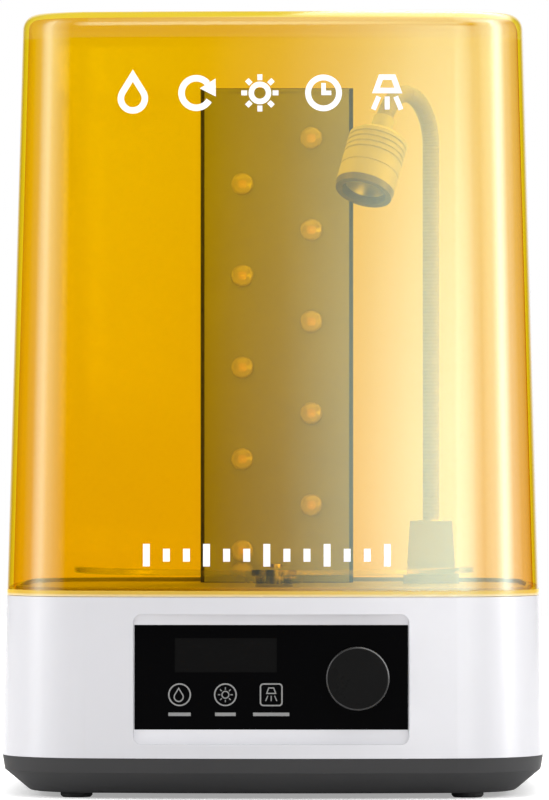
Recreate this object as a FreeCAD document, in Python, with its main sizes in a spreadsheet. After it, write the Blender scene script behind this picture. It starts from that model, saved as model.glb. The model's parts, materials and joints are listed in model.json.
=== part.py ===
"""UV curing lamp with a lift-off amber cover, a turntable, a light tower and a gooseneck lamp.

Millimetres, +Z up, front towards -Y. The origin is on the floor, under the middle of the base.
"""
import FreeCAD, Part
import math
import operator
import os
from types import SimpleNamespace

import Sketcher
from FreeCAD import Placement, Rotation, Vector

doc = FreeCAD.newDocument("uv_curing_lamp")
sheet = doc.addObject("Spreadsheet::Sheet", "Dims")

# Driving dimensions, in millimetres and degrees. Radii end in _r, thicknesses in _t.
SIZES = {
    # Plan outline of the base: four bowed sides joined by round corners, and the walls' draft.
    "half_width": 128.5, "half_depth": 117, "corner_r": 46, "bow_front": 720, "bow_side": 1500,
    "draft": 1.6, "wall": 2.6, "touch_gap": 0.3,
    # Levels of the base.
    "foot_height": 2.4, "tray_top": 19, "housing_base": 19.2, "housing_top": 94,
    "foot_r": 7.5, "foot_bevel": 1, "peg_r": 2.5, "foot_x": 91.5, "foot_y": 86,
    "chamfer_width": 10.4, "chamfer_height": 10.1, "edge_round": 4, "tray_floor": 5.2,
    "tray_flare": 9.5,
    "tray_step": 13.5, "vent_length": 50, "vent_width": 3, "vent_pitch": 9,
    # Posts that join tray, housing and deck.
    "post_r": 4.5, "post_x": 62, "post_y": 95, "rib_t": 2.4, "ledge": 2.5, "ledge_t": 2.5,
    "screw_r": 1.5, "head_r": 2.8, "head_t": 2, "socket_r": 1.2, "socket_depth": 1.2,
    "tray_screw_length": 22, "post_base": 14, "deck_screw_length": 8, "tab_x": 104, "tab_y": 90,
    "tab_r": 6,
    # Control panel, in its scooped recess.
    "panel_width": 127.2, "panel_height": 48.7, "panel_level": 56.8, "panel_face": 110.7,
    "panel_t": 1.5, "panel_corner": 0.6, "scoop_rise": 1.5, "scoop_side": 0.6, "scoop_over": 5,
    "scoop_under": 6.8, "scoop_corner": 4, "scoop_depth": 8, "rear_scoop_angle": 62.5,
    "backing_t": 3, "backing_margin": 9,
    "window_width": 47.5, "window_height": 16, "window_x": -21.1, "window_level": 67.05,
    "window_t": 1.2, "icon_pitch": 21.3, "icon_level": 48.7, "icon_hole_r": 1.6,
    "board_gap": 6.5, "board_t": 1.6, "panel_board_width": 108, "panel_board_height": 42,
    "panel_post_x": 50, "panel_post_level": 17, "panel_post_r": 3, "mode_led_width": 3,
    "mode_led_height": 2, "mode_led_t": 1.2,
    # Rotary knob and its encoder.
    "knob_x": 40.25, "knob_level": 56.5, "knob_r": 14.8, "knob_stand": 10.1, "knob_gap": 0.9,
    "knob_round": 1.1, "knob_hollow_r": 11, "knob_hollow": 4.5, "knob_web": 3.5, "knob_push": 0.7,
    "encoder_side": 12.4, "bushing_r": 3.5, "nut_r": 5.5, "nut_t": 1.8, "shaft_r": 3,
    "rotor_r": 4.6, "rotor_t": 2.2, "rotor_hub_r": 2.2, "running": 0.05, "thread_stand": 0.5,
    "encoder_floor": 1.2, "rotor_play": 0.4, "shaft_grip": 1.2,
    "sleeve_t": 2, "sleeve_length": 1.8,
    # Recess, socket and switch in the back wall.
    "rear_width": 66, "rear_height": 32, "rear_level": 48, "rear_face": 114.3, "rear_backing": 6,
    "jack_x": 17, "jack_r": 5.6, "jack_flange_r": 8, "jack_flange_t": 2.2, "jack_bore_r": 3.2,
    "jack_pin_r": 1.2, "jack_length": 16, "jack_floor": 10, "jack_round": 0.6, "jack_pin_set": 2,
    "switch_x": -15, "switch_width": 21, "switch_height": 15, "switch_frame": 2.5,
    "switch_stand": 2.2, "switch_depth": 16, "rocker_out": 0.5, "rocker_tilt": 9,
    "rocker_pin_r": 1.2, "well_depth": 9, "well_x_t": 1, "well_z_t": 0.6, "rocker_depth": 5,
    "rocker_foot": 2.2, "rocker_rise": 1.4, "rocker_dish": 0.4, "rocker_pin_inset": 0.2,
    # Deck under the cover.
    "deck_t": 3, "lip_inset": 6.3, "lip_top": 98.5, "lip_t": 2, "lip_round": 0.8,
    "floor_top": 96.5, "floor_t": 2.5, "socket_screw_x": 9, "tower_screw_inset": 9,
    # Amber cover.
    "cover_base": 94.3, "cover_top": 367, "cover_wall": 2.8, "rim_height": 3, "rim_wall": 3.4,
    "cover_round": 7, "magnet_side": 8, "magnet_t": 2.4, "magnet_level": 103.5,
    # Turntable and its drive.
    "spin_y": -14.5, "platter_r": 95.5, "platter_t": 3, "platter_top": 106.7, "hub_r": 13.85,
    "spigot_r": 8.5, "hub_base": 98.4, "pin_r": 3.75, "pin_top": 107.6, "boss_r": 9,
    "boss_top": 98.1, "magnet_ring": 9.4, "hub_magnet_r": 2, "hub_magnet_t": 3,
    "hub_key_width": 3, "hub_key": 2, "hub_bevel": 0.8, "hub_round": 0.5, "hub_sink": 0.1,
    "key_sink": 0.8, "plate_bevel": 0.6,
    "carrier_r": 15, "carrier_base": 85, "carrier_top": 92.5, "drive_magnet_t": 4,
    "motor_r": 18, "motor_base": 52, "motor_top": 79, "motor_shaft_r": 2, "motor_post_r": 4,
    "motor_post": 30, "bracket_t": 2, "gearbox_t": 9, "gearbox_r": 11, "motor_neck_r": 5,
    "ear_x": 21.4, "ear_r": 5, "ear_t": 3, "shaft_depth": 14, "carrier_rim": 2, "carrier_hub_r": 6,
    "carrier_hub_stand": 1.5, "motor_screw_reach": 6, "tower_screw_reach": 4,
    "socket_screw_reach": 5, "board_screw_length": 5.5,
    # Light tower.
    "tower_half": 37.4, "tower_front": 83, "tower_back": 103.2, "tower_top": 338.8, "tower_t": 1.5,
    "tower_round": 5, "tower_sill": 4, "tower_boss_r": 4, "tower_boss_t": 7, "rail_t": 3,
    "rail_margin": 8,
    "panel_half": 35.5, "tower_panel_t": 1.5, "column_x": 16.9, "row_pitch": 45,
    "left_row": 112, "right_row": 134.5, "lens_r": 5.4, "lens_flange_r": 6.4, "lens_stand": 2.6,
    "led_side": 3.6, "led_t": 1.8, "board_half": 27, "board_depth": 3.2, "sink_t": 4,
    "sink_plate_t": 2, "fin_t": 1.2, "fin_pitch": 6, "lens_play": 0.2, "lens_wall": 1.2,
    "sensor_width": 8, "sensor_height": 6, "sensor_t": 2,
    # Gooseneck lamp.
    "lamp_x": 75.5, "lamp_y": 74, "foot_side": 27, "foot_top": 104, "block_side": 23.5,
    "block_top": 127, "block_tip": 20.5, "ferrule_r": 6.2, "ferrule_length": 16,
    "neck_r": 4.15, "stem_top": 309.8, "bend_r": 25, "bend_angle": 150.5, "neck_heading": 240.8,
    "ball_clearance": 0.08,
    "collar_r": 5.25, "collar_length": 10, "lamp_r": 14.35, "lamp_length": 32,
    "groove_depth": 0.8, "groove_width": 1.3, "groove_pitch": 2.9, "ring_at": 20,
    "lamp_wall": 1.8, "lamp_back": 8, "bezel_t": 3.2, "bezel_wall": 2.6, "lens_t": 1.6,
    "lamp_board_t": 1.6, "lamp_board_r": 10, "chip_side": 4, "chip_t": 1.2, "wire_r": 2,
    "socket_wire_r": 3, "collar_round": 0.5, "shoulder_width": 3, "shoulder_height": 2.5,
    "first_groove": 4.2, "groove_side": 0.3, "seam_depth": 0.5, "seam_width": 1.1,
    "lens_sink": 0.4, "bezel_round": 0.6, "bezel_lip": 0.8, "reflector_t": 0.8,
    "reflector_rim": 1.2,
    # Main board.
    "main_x": 58, "main_y": 10, "main_length": 84, "main_width": 60, "main_level": 14,
    "standoff_r": 3.5, "standoff_inset": 5,
}
for row, (alias, value) in enumerate(SIZES.items(), 1):
    sheet.set(f"A{row}", alias)
    sheet.set(f"B{row}", str(value))
    sheet.setAlias(f"B{row}", alias)
doc.recompute()

LINKS = 5          # bent pieces of the gooseneck, between the stem and the lamp
LEDS_PER_COLUMN = 5
COOLING_GROOVES = 4
NUT_SIDES = 6
NINE_ROWS = range(-4, 5)
DOME_SHAPE = (1, 0), (0.93, 0.43), (0.8, 0.75), (0.45, 1), (0, 1.07)  # shares of radius and rise
# Parts on the main board: offset across and back, width, depth and height.
BOARD_BLOCKS = (
    (-28, -12, 10, 10, 2), (-10, -14, 7, 7, 1.6),              # processor and motor driver
    (4, 8, 16, 12, 9),                                         # relay
    (28, -20, 8, 6, 7), (28, -8, 8, 6, 7), (28, 4, 8, 6, 7),   # plug sockets
    (-30, 14, 6, 12, 5),                                       # fuse
)
BOARD_CANS = (-14, 18, 4, 12), (-4, 18, 4, 12)   # capacitors: offset across and back, radius, height
NODES = {}         # node name: the document object that is exported as that node


class Size:
    """A length that knows its value and the sheet formula that gives it."""

    def __init__(self, value, text):
        self.value = value
        self.text = text

    def join(self, symbol, other, reverse=False):
        rule = {"+": operator.add, "-": operator.sub, "*": operator.mul, "/": operator.truediv}[symbol]
        first, second = (size(other), self) if reverse else (self, size(other))
        return Size(rule(first.value, second.value), f"({first.text} {symbol} {second.text})")

    def __add__(self, other):
        return self.join("+", other)

    def __sub__(self, other):
        return self.join("-", other)

    def __mul__(self, other):
        return self.join("*", other)

    def __truediv__(self, other):
        return self.join("/", other)

    def __radd__(self, other):
        return self.join("+", other, True)

    def __rsub__(self, other):
        return self.join("-", other, True)

    def __rmul__(self, other):
        return self.join("*", other, True)

    def __neg__(self):
        return self * -1


def size(number):
    return number if isinstance(number, Size) else Size(number, f"({float(number)!r})")


def tangent(angle):
    return Size(math.tan(math.radians(angle.value)), f"tan({angle.text})")


d = SimpleNamespace(**{alias: Size(value, f"Dims.{alias}") for alias, value in SIZES.items()})
FRONT, BACK, UP, DOWN = Vector(0, -1, 0), Vector(0, 1, 0), Vector(0, 0, 1), Vector(0, 0, -1)


def bind(item, path, amount):
    """Bind a property to the sheet."""
    item.setExpression(path, size(amount).text)


def place(item, at, direction=UP):
    """Put an item's own origin at a point, with its own Z along a direction."""
    item.Placement = Placement(Vector(*(size(c).value for c in at)), Rotation(UP, direction))
    for axis, amount in zip("xyz", at):
        bind(item, f"Placement.Base.{axis}", amount)
    return item


def drop(level):
    """How far the drafted walls have come in at a level."""
    return (level - d.tray_top) * tangent(d.draft)


# Part primitives and booleans.

def part(kind, **sizes):
    item = doc.addObject(f"Part::{kind}", kind)
    for path, amount in sizes.items():
        bind(item, path, amount)
    return item


def box(x, y, z):
    """A box from three (low, high) pairs."""
    spans = [high - low for low, high in (x, y, z)]
    item = part("Box", Length=spans[0], Width=spans[1], Height=spans[2])
    return place(item, (x[0], y[0], z[0]))


def cylinder(at, radius, height, direction=UP):
    return place(part("Cylinder", Radius=radius, Height=height), at, direction)


def cone(at, low_r, high_r, height, direction=UP):
    return place(part("Cone", Radius1=low_r, Radius2=high_r, Height=height), at, direction)


def fuse(*items):
    item = doc.addObject("Part::MultiFuse", "Fuse")
    item.Shapes = list(items)
    item.Refine = True
    return item


def cut(base, *tools):
    item = doc.addObject("Part::Cut", "Cut")
    item.Base = base
    item.Tool = tools[0] if len(tools) == 1 else fuse(*tools)
    item.Refine = True
    return item


def node(name, item):
    item.Label = name
    NODES[name] = item
    return item


def group(name, items):
    """Separate solids in one node."""
    item = doc.addObject("Part::Compound", name)
    item.Links = list(items)
    return node(name, item)


def copies(name, master, places):
    """One node of identical pieces, each a copy of the master at its own place."""
    doc.recompute()
    shapes = []
    for spot in places:
        shape = master.Shape.copy()
        shape.Placement = spot.multiply(master.Shape.Placement)
        shapes.append(shape)
    item = doc.addObject("Part::Feature", name)
    item.Shape = Part.makeCompound(shapes)
    return node(name, item)


def spot(x, y, z, direction=UP):
    return Placement(Vector(*(size(c).value for c in (x, y, z))), Rotation(UP, direction))


class Piece:
    """A PartDesign body built feature by feature, with its sizes bound to the sheet."""

    def __init__(self, name, is_node=True):
        self.body = doc.addObject("PartDesign::Body", name)
        if is_node:
            node(name, self.body)

    def sketch(self, plane="XY", level=0):
        sketch = self.body.newObject("Sketcher::SketchObject", "Sketch")
        features = self.body.Origin.OriginFeatures
        sketch.AttachmentSupport = [(next(f for f in features if f.Role == f"{plane}_Plane"), "")]
        sketch.MapMode = "FlatFace"
        bind(sketch, "AttachmentOffset.Base.z", level)
        return sketch

    def feature(self, kind, **sizes):
        item = self.body.newObject(f"PartDesign::{kind}", kind)
        for path, amount in sizes.items():
            bind(item, path, amount)
        return item

    def pad(self, profile, length, taper=0, reverse=False):
        item = self.feature("Pad", Length=length, TaperAngle=taper)
        item.Profile = profile
        item.Reversed = reverse
        doc.recompute()
        return item

    def pocket(self, profile, length, taper=0, reverse=False):
        before = self.body.Shape.Volume
        item = self.feature("Pocket", Length=length, TaperAngle=taper)
        item.Profile = profile
        item.Reversed = reverse
        doc.recompute()
        if self.body.Shape.Volume > before - 1:
            raise RuntimeError(f"a pocket of {self.body.Label} cuts nothing")
        return item

    def loft(self, low, high):
        """A solid with straight sides from one outline to another."""
        item = self.feature("AdditiveLoft")
        item.Profile = low
        item.Sections = [high]
        item.Ruled = True
        doc.recompute()
        return item

    def turn(self, profile):
        """Revolve an XZ profile about Z."""
        item = self.feature("Revolution")
        item.Profile = profile
        item.ReferenceAxis = (profile, ["V_Axis"])
        item.Angle = 360
        doc.recompute()
        return item

    def dress(self, kind, test, **sizes):
        """Fillet or chamfer the edges that pass the test."""
        tip = self.body.Tip
        names = [f"Edge{n}" for n, edge in enumerate(tip.Shape.Edges, 1) if test(edge)]
        if not names:
            raise RuntimeError(f"{kind} of {self.body.Label} finds no edge")
        item = self.feature(kind, **sizes)
        item.Base = (tip, names)
        if kind == "Chamfer" and "Size2" in sizes:
            item.ChamferType = "Two distances"
        doc.recompute()
        return item


def at_level(level):
    """A test for flat edges at one level."""
    return lambda edge: (abs(edge.BoundBox.ZMin - level.value) < 0.01
                         and abs(edge.BoundBox.ZMax - level.value) < 0.01)


# Sketch outlines. A sketch on XY has x and y along X and Y. One on XZ has them along X and Z,
# and its level counts towards the front.

def fix(sketch, kind, where, amount):
    number = sketch.addConstraint(Sketcher.Constraint(kind, *where, size(amount).value))
    bind(sketch, f"Constraints[{number}]", amount)


def pin_point(sketch, curve, end, x, y):
    """Hold a point of a curve at x, y."""
    for kind, axis, amount in (("DistanceX", -2, x), ("DistanceY", -1, y)):
        if isinstance(amount, Size):
            fix(sketch, kind, (-1, 1, curve, end), amount)
        elif amount == 0:
            sketch.addConstraint(Sketcher.Constraint("PointOnObject", curve, end, axis))
        else:
            fix(sketch, kind, (-1, 1, curve, end), amount)


def polygon(sketch, points):
    spots = [Vector(size(x).value, size(y).value, 0) for x, y in points]
    count = len(points)
    lines = [sketch.addGeometry(Part.LineSegment(spots[i], spots[(i + 1) % count]), False)
             for i in range(count)]
    for i, line in enumerate(lines):
        sketch.addConstraint(Sketcher.Constraint("Coincident", line, 2, lines[(i + 1) % count], 1))
        pin_point(sketch, line, 1, *points[i])
    return sketch


def rectangle(sketch, x, y):
    return polygon(sketch, [(x[0], y[0]), (x[1], y[0]), (x[1], y[1]), (x[0], y[1])])


def bowed_outline(sketch, inset):
    """The base's plan outline, moved in all round: eight tangent arcs."""
    width, depth, corner, bow_y, bow_x = (
        (amount - inset).value
        for amount in (d.half_width, d.half_depth, d.corner_r, d.bow_front, d.bow_side))
    front_centre, side_centre = bow_y - depth, bow_x - width
    # The corner arc's centre is as far inside both bows as their radii are longer than its own.
    to_side = Vector(-side_centre, -front_centre, 0)
    reach = to_side.Length
    along = ((bow_y - corner) ** 2 - (bow_x - corner) ** 2 + reach ** 2) / (2 * reach)
    across = math.sqrt((bow_y - corner) ** 2 - along ** 2)
    unit = to_side / reach
    centre = Vector(0, front_centre, 0) + unit * along + Vector(-unit.y, unit.x, 0) * across
    x, y = abs(centre.x), abs(centre.y)
    half_front = math.atan2(x, front_centre + y)
    half_side = math.atan2(y, side_centre + x)
    right = math.pi / 2
    plan = [  # centre x, centre y, radius, first angle, last angle, anticlockwise from the front
        (0, front_centre, bow_y, -right - half_front, -right + half_front),
        (x, -y, corner, -right + half_front, -half_side),
        (-side_centre, 0, bow_x, -half_side, half_side),
        (x, y, corner, half_side, right - half_front),
        (0, -front_centre, bow_y, right - half_front, right + half_front),
        (-x, y, corner, right + half_front, 2 * right - half_side),
        (side_centre, 0, bow_x, 2 * right - half_side, 2 * right + half_side),
        (-x, -y, corner, 2 * right + half_side, 3 * right - half_front),
    ]
    arcs = [sketch.addGeometry(Part.ArcOfCircle(Part.Circle(Vector(cx, cy, 0), UP, r), low, high), False)
            for cx, cy, r, low, high in plan]
    for i, arc in enumerate(arcs):
        sketch.addConstraint(Sketcher.Constraint("Tangent", arc, 2, arcs[(i + 1) % 8], 1))
    front, corner_arc, side = arcs[:3]
    back, far_side = arcs[4], arcs[6]
    for arc in (front, back):
        sketch.addConstraint(Sketcher.Constraint("PointOnObject", arc, 3, -2))
    for arc in (side, far_side):
        sketch.addConstraint(Sketcher.Constraint("PointOnObject", arc, 3, -1))
    fix(sketch, "Radius", (front,), d.bow_front - inset)
    fix(sketch, "Radius", (side,), d.bow_side - inset)
    fix(sketch, "Radius", (corner_arc,), d.corner_r - inset)
    for first, second in ((front, back), (side, far_side), (corner_arc, arcs[3]),
                          (corner_arc, arcs[5]), (corner_arc, arcs[7])):
        sketch.addConstraint(Sketcher.Constraint("Equal", first, second))
    fix(sketch, "DistanceY", (-1, 1, front, 3), d.bow_front - d.half_depth)
    fix(sketch, "DistanceY", (back, 3, -1, 1), d.bow_front - d.half_depth)
    fix(sketch, "DistanceX", (-1, 1, far_side, 3), d.bow_side - d.half_width)
    fix(sketch, "DistanceX", (side, 3, -1, 1), d.bow_side - d.half_width)
    return sketch


def slab(name, inset, low, high, taper=0, is_node=False):
    """A solid with the base's plan outline, from one level up to another."""
    piece = Piece(name, is_node)
    piece.pad(bowed_outline(piece.sketch("XY", low), inset), high - low, taper)
    return piece


# Screws: one master per length, with its head below its own origin and its shank going up.

def screw(length, head_r=d.head_r, head_t=d.head_t, shank_r=d.screw_r):
    head = cylinder((0, 0, -head_t), head_r, head_t)
    shank = cylinder((0, 0, 0), shank_r, length)
    key = place(part("Prism", Circumradius=d.socket_r, Height=d.socket_depth), (0, 0, -head_t))
    key.Polygon = 6
    return cut(fuse(head, shank), key)


SIDES = (-1, 1)
CORNERS = [(i, j) for i in SIDES for j in SIDES]


# Base: tray, housing and deck.

def lower_tray():
    foot_inset = (d.tray_top - d.foot_height) * tangent(d.tray_flare)
    outer = slab("tray_outer", foot_inset, d.foot_height, d.tray_top, d.tray_flare)
    outer.dress("Chamfer", at_level(d.foot_height), Size=d.chamfer_height, Size2=d.chamfer_width)
    outer.dress("Fillet", at_level(d.foot_height), Radius=d.edge_round)
    step_inset = d.wall + 1
    cavity = slab("tray_hollow", d.wall, d.tray_step, d.tray_top + 1)
    slope = Size(math.degrees(math.atan2(SIZES["chamfer_width"], SIZES["chamfer_height"])),
                 "atan(Dims.chamfer_width / Dims.chamfer_height)")
    bowl = Piece("tray_bowl", False)
    bowl.pad(bowed_outline(bowl.sketch("XY", d.tray_step), step_inset),
             d.tray_step - d.tray_floor, -slope, True)
    posts = [cylinder((i * d.post_x, j * d.post_y, d.foot_height), d.post_r,
                      d.post_base - d.foot_height) for i, j in CORNERS]
    standoffs = [cylinder((x, y, d.tray_floor - 1), d.standoff_r, d.main_level - d.tray_floor + 1)
                 for x, y in board_corners()]
    holes = []
    for i, j in CORNERS:
        holes += [cylinder((i * d.post_x, j * d.post_y, 0), d.screw_r, 2 * d.tray_top),
                  cylinder((i * d.post_x, j * d.post_y, 0), d.head_r + d.running,
                           d.foot_height + d.head_t),
                  cylinder((i * d.foot_x, j * d.foot_y, 0), d.peg_r, d.tray_top)]
    holes += [cylinder((x, y, d.tray_floor), d.screw_r, d.tray_top) for x, y in board_corners()]
    for step in NINE_ROWS:
        at_x = step * d.vent_pitch - d.main_x
        holes.append(box((at_x - d.vent_width / 2, at_x + d.vent_width / 2),
                         (d.vent_length * -0.5, d.vent_length * 0.5), (size(0), d.tray_step)))
    hollow = cut(fuse(cavity.body, bowl.body), *posts, *standoffs)
    node("lower_tray", cut(cut(outer.body, hollow), *holes))


def board_corners():
    """Fixing points of the main board."""
    half_x = d.main_length / 2 - d.standoff_inset
    half_y = d.main_width / 2 - d.standoff_inset
    return [(d.main_x + i * half_x, d.main_y + j * half_y) for i, j in CORNERS]


def rubber_feet():
    feet = []
    for i, j in CORNERS:
        x, y = i * d.foot_x, j * d.foot_y
        feet.append(fuse(cone((x, y, 0), d.foot_r - d.foot_bevel, d.foot_r, d.foot_bevel),
                         cylinder((x, y, d.foot_bevel), d.foot_r, d.foot_height - d.foot_bevel),
                         cylinder((x, y, d.foot_height), d.peg_r, d.tray_floor)))
    group("rubber_feet", feet)


def panel_block(low, high, margin):
    """Spans of a box behind the control panel, from one depth to another."""
    half_x = d.panel_width / 2 + margin
    half_z = d.panel_height / 2 + margin
    return ((-half_x, half_x), (-high, -low), (d.panel_level - half_z, d.panel_level + half_z))


def panel_scoop():
    """The panel's recess tool: flat flanks round the panel, then straight out through the bowed front."""
    half_x, half_z = d.panel_width / 2, d.panel_height / 2
    mouth_x = (-half_x - d.scoop_side, half_x + d.scoop_side)
    mouth_z = (d.panel_level - half_z - d.scoop_under, d.panel_level + half_z + d.scoop_over)
    mouth_level = d.panel_face + d.scoop_rise
    flanks = Piece("scoop_flanks", False)
    floor = rectangle(flanks.sketch("XZ", d.panel_face), (-half_x, half_x),
                      (d.panel_level - half_z, d.panel_level + half_z))
    flanks.loft(floor, rectangle(flanks.sketch("XZ", mouth_level), mouth_x, mouth_z))
    mouth = Piece("scoop_mouth", False)
    mouth.pad(rectangle(mouth.sketch("XZ", mouth_level), mouth_x, mouth_z), d.scoop_depth)
    mouth.dress("Fillet", lambda e: abs(e.BoundBox.YLength - SIZES["scoop_depth"]) < 0.01,
                Radius=d.scoop_corner)
    return fuse(flanks.body, mouth.body)


def rear_scoop():
    """The rear recess tool, with a flat bottom and flanks that lie far back."""
    half_x, half_z = d.rear_width / 2, d.rear_height / 2
    piece = Piece("rear_scoop", False)
    profile = rectangle(piece.sketch("XZ", -d.rear_face), (-half_x, half_x),
                        (d.rear_level - half_z, d.rear_level + half_z))
    piece.pad(profile, d.scoop_depth, d.rear_scoop_angle, True)
    return piece.body


def upper_housing():
    outer = slab("housing_outer", drop(d.housing_base), d.housing_base, d.housing_top, -d.draft)
    cavity = slab("housing_hollow", d.wall, d.tray_top, d.housing_top + 1, -d.draft)
    ledge_low = d.housing_top - d.deck_t - d.ledge_t
    ledge_hole = slab("ledge_hole", d.wall + drop(d.housing_top) + d.ledge,
                      d.tray_top, d.housing_top + 2)
    ledge = cut(box((-2 * d.half_width, 2 * d.half_width), (-2 * d.half_width, 2 * d.half_width),
                    (ledge_low, ledge_low + d.ledge_t)), ledge_hole.body)
    backing = box(*panel_block(d.panel_face - d.panel_t - d.backing_t, d.half_depth, d.backing_margin))
    rear_half = d.rear_width / 2 + d.backing_margin
    rear = box((-rear_half, rear_half), (d.rear_face - d.rear_backing + 1, d.half_depth),
               (d.rear_level - d.rear_height / 2 - d.backing_margin,
                d.rear_level + d.rear_height / 2 + d.backing_margin))
    kept = [ledge, backing, rear]
    for i, j in CORNERS:
        x, y = i * d.post_x, j * d.post_y
        kept.append(cylinder((x, y, d.post_base), d.post_r, d.housing_top - d.deck_t - d.post_base))
        far = sorted((y, j * d.half_depth), key=lambda amount: amount.value)
        kept.append(box((x - d.rib_t / 2, x + d.rib_t / 2), far, (d.tray_top + 2, ledge_low + 1)))
        kept.append(cylinder((i * d.tab_x, j * d.tab_y, ledge_low), d.tab_r, d.ledge_t))
    shell = cut(outer.body, cut(cavity.body, *kept))
    face = d.panel_face
    seat = box(*panel_block(face - d.panel_t, face + 1, 0))
    deep = d.panel_t + 2 * d.backing_t
    holes = [panel_scoop(), rear_scoop(), seat,
             box((d.window_x - d.window_width / 2, d.window_x + d.window_width / 2),
                 (-face, deep - face),
                 (d.window_level - d.window_height / 2, d.window_level + d.window_height / 2)),
             cylinder((d.knob_x, -face, d.knob_level), d.bushing_r, deep, BACK)]
    holes += [cylinder((x, -face, d.icon_level), d.icon_hole_r, deep, BACK) for x in icon_places()]
    holes += [cylinder((d.jack_x, d.rear_face - 2 * d.rear_backing, d.rear_level), d.jack_r,
                       3 * d.rear_backing, BACK),
              box((d.switch_x - switch_body_half()[0], d.switch_x + switch_body_half()[0]),
                  (d.rear_face - 2 * d.rear_backing, d.half_depth + 2),
                  (d.rear_level - switch_body_half()[1], d.rear_level + switch_body_half()[1]))]
    for i, j in CORNERS:
        holes += [cylinder((i * d.post_x, j * d.post_y, d.post_base), d.screw_r,
                           d.tray_screw_length),
                  cylinder((i * d.tab_x, j * d.tab_y, ledge_low - 1), d.screw_r, d.ledge_t + 2)]
    node("upper_housing", cut(shell, *holes))


def icon_places():
    return [-2 * d.icon_pitch, -d.icon_pitch, size(0)]


def switch_body_half():
    return (d.switch_width / 2 - d.switch_frame, d.switch_height / 2 - d.switch_frame)


def deck():
    flange_low = d.housing_top - d.deck_t
    flange = slab("deck_flange", d.wall + drop(d.housing_top), flange_low, d.housing_top)
    raised = slab("deck_raised", d.lip_inset, d.housing_top, d.lip_top)
    raised.dress("Fillet", at_level(d.lip_top), Radius=d.lip_round)
    sunk = slab("deck_sunk", d.lip_inset + d.lip_t, d.floor_top, d.lip_top + 1)
    under = slab("deck_under", d.lip_inset + d.lip_t, flange_low - 1, d.floor_top - d.floor_t)
    blind = d.floor_top - d.floor_t
    boss = cylinder((0, d.spin_y, blind), d.boss_r, d.boss_top - blind)
    posts = [cylinder((i * d.motor_post, d.spin_y + j * d.motor_post, d.motor_top + d.bracket_t),
                      d.motor_post_r, d.floor_top - d.motor_top - d.bracket_t) for i, j in CORNERS]
    tabs = [cylinder((i * d.tab_x, j * d.tab_y, flange_low), d.tab_r, d.floor_top - flange_low)
            for i, j in CORNERS]
    body = fuse(cut(fuse(flange.body, raised.body), sunk.body, under.body), boss, *posts, *tabs)
    holes = [cylinder((0, d.spin_y, d.housing_top - 2), d.pin_r, d.pin_top)]
    holes += [cylinder((i * d.motor_post, d.spin_y + j * d.motor_post, d.motor_top), d.screw_r,
                       d.deck_screw_length + d.bracket_t) for i, j in CORNERS]
    holes += [cylinder((i * d.tab_x, j * d.tab_y, flange_low - 1), d.screw_r,
                       d.deck_screw_length - d.ledge_t + 1) for i, j in CORNERS]
    holes += [cylinder((x, y, blind - 1), d.screw_r, d.floor_t + 2)
              for x, y in tower_screw_places() + socket_screw_places()]
    holes.append(cylinder((d.lamp_x, d.lamp_y, blind - 1), d.screw_r * 2, d.floor_t + 2))
    node("deck", cut(body, *holes))


def tower_screw_places():
    middle = (d.tower_front + d.tower_back) / 2
    return [(i * (d.tower_half - d.tower_screw_inset), middle) for i in SIDES]


def socket_screw_places():
    reach = d.socket_screw_x
    return [(d.lamp_x + i * reach, d.lamp_y - i * reach) for i in SIDES]


def base_screws():
    up_places = [spot(i * d.post_x, j * d.post_y, d.foot_height + d.head_t) for i, j in CORNERS]
    copies("tray_screws", screw(d.tray_screw_length + d.post_base - d.foot_height - d.head_t), up_places)
    ledge_low = d.housing_top - d.deck_t - d.ledge_t
    copies("deck_screws", screw(d.deck_screw_length), [spot(i * d.tab_x, j * d.tab_y, ledge_low)
                                                       for i, j in CORNERS])
    copies("tower_screws", screw(d.floor_t + d.tower_screw_reach),
           [spot(x, y, d.floor_top - d.floor_t) for x, y in tower_screw_places()])
    copies("socket_screws", screw(d.floor_t + d.socket_screw_reach),
           [spot(x, y, d.floor_top - d.floor_t) for x, y in socket_screw_places()])


# Control panel: plate, window, boards, encoder and knob. Depths count from the front.

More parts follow.
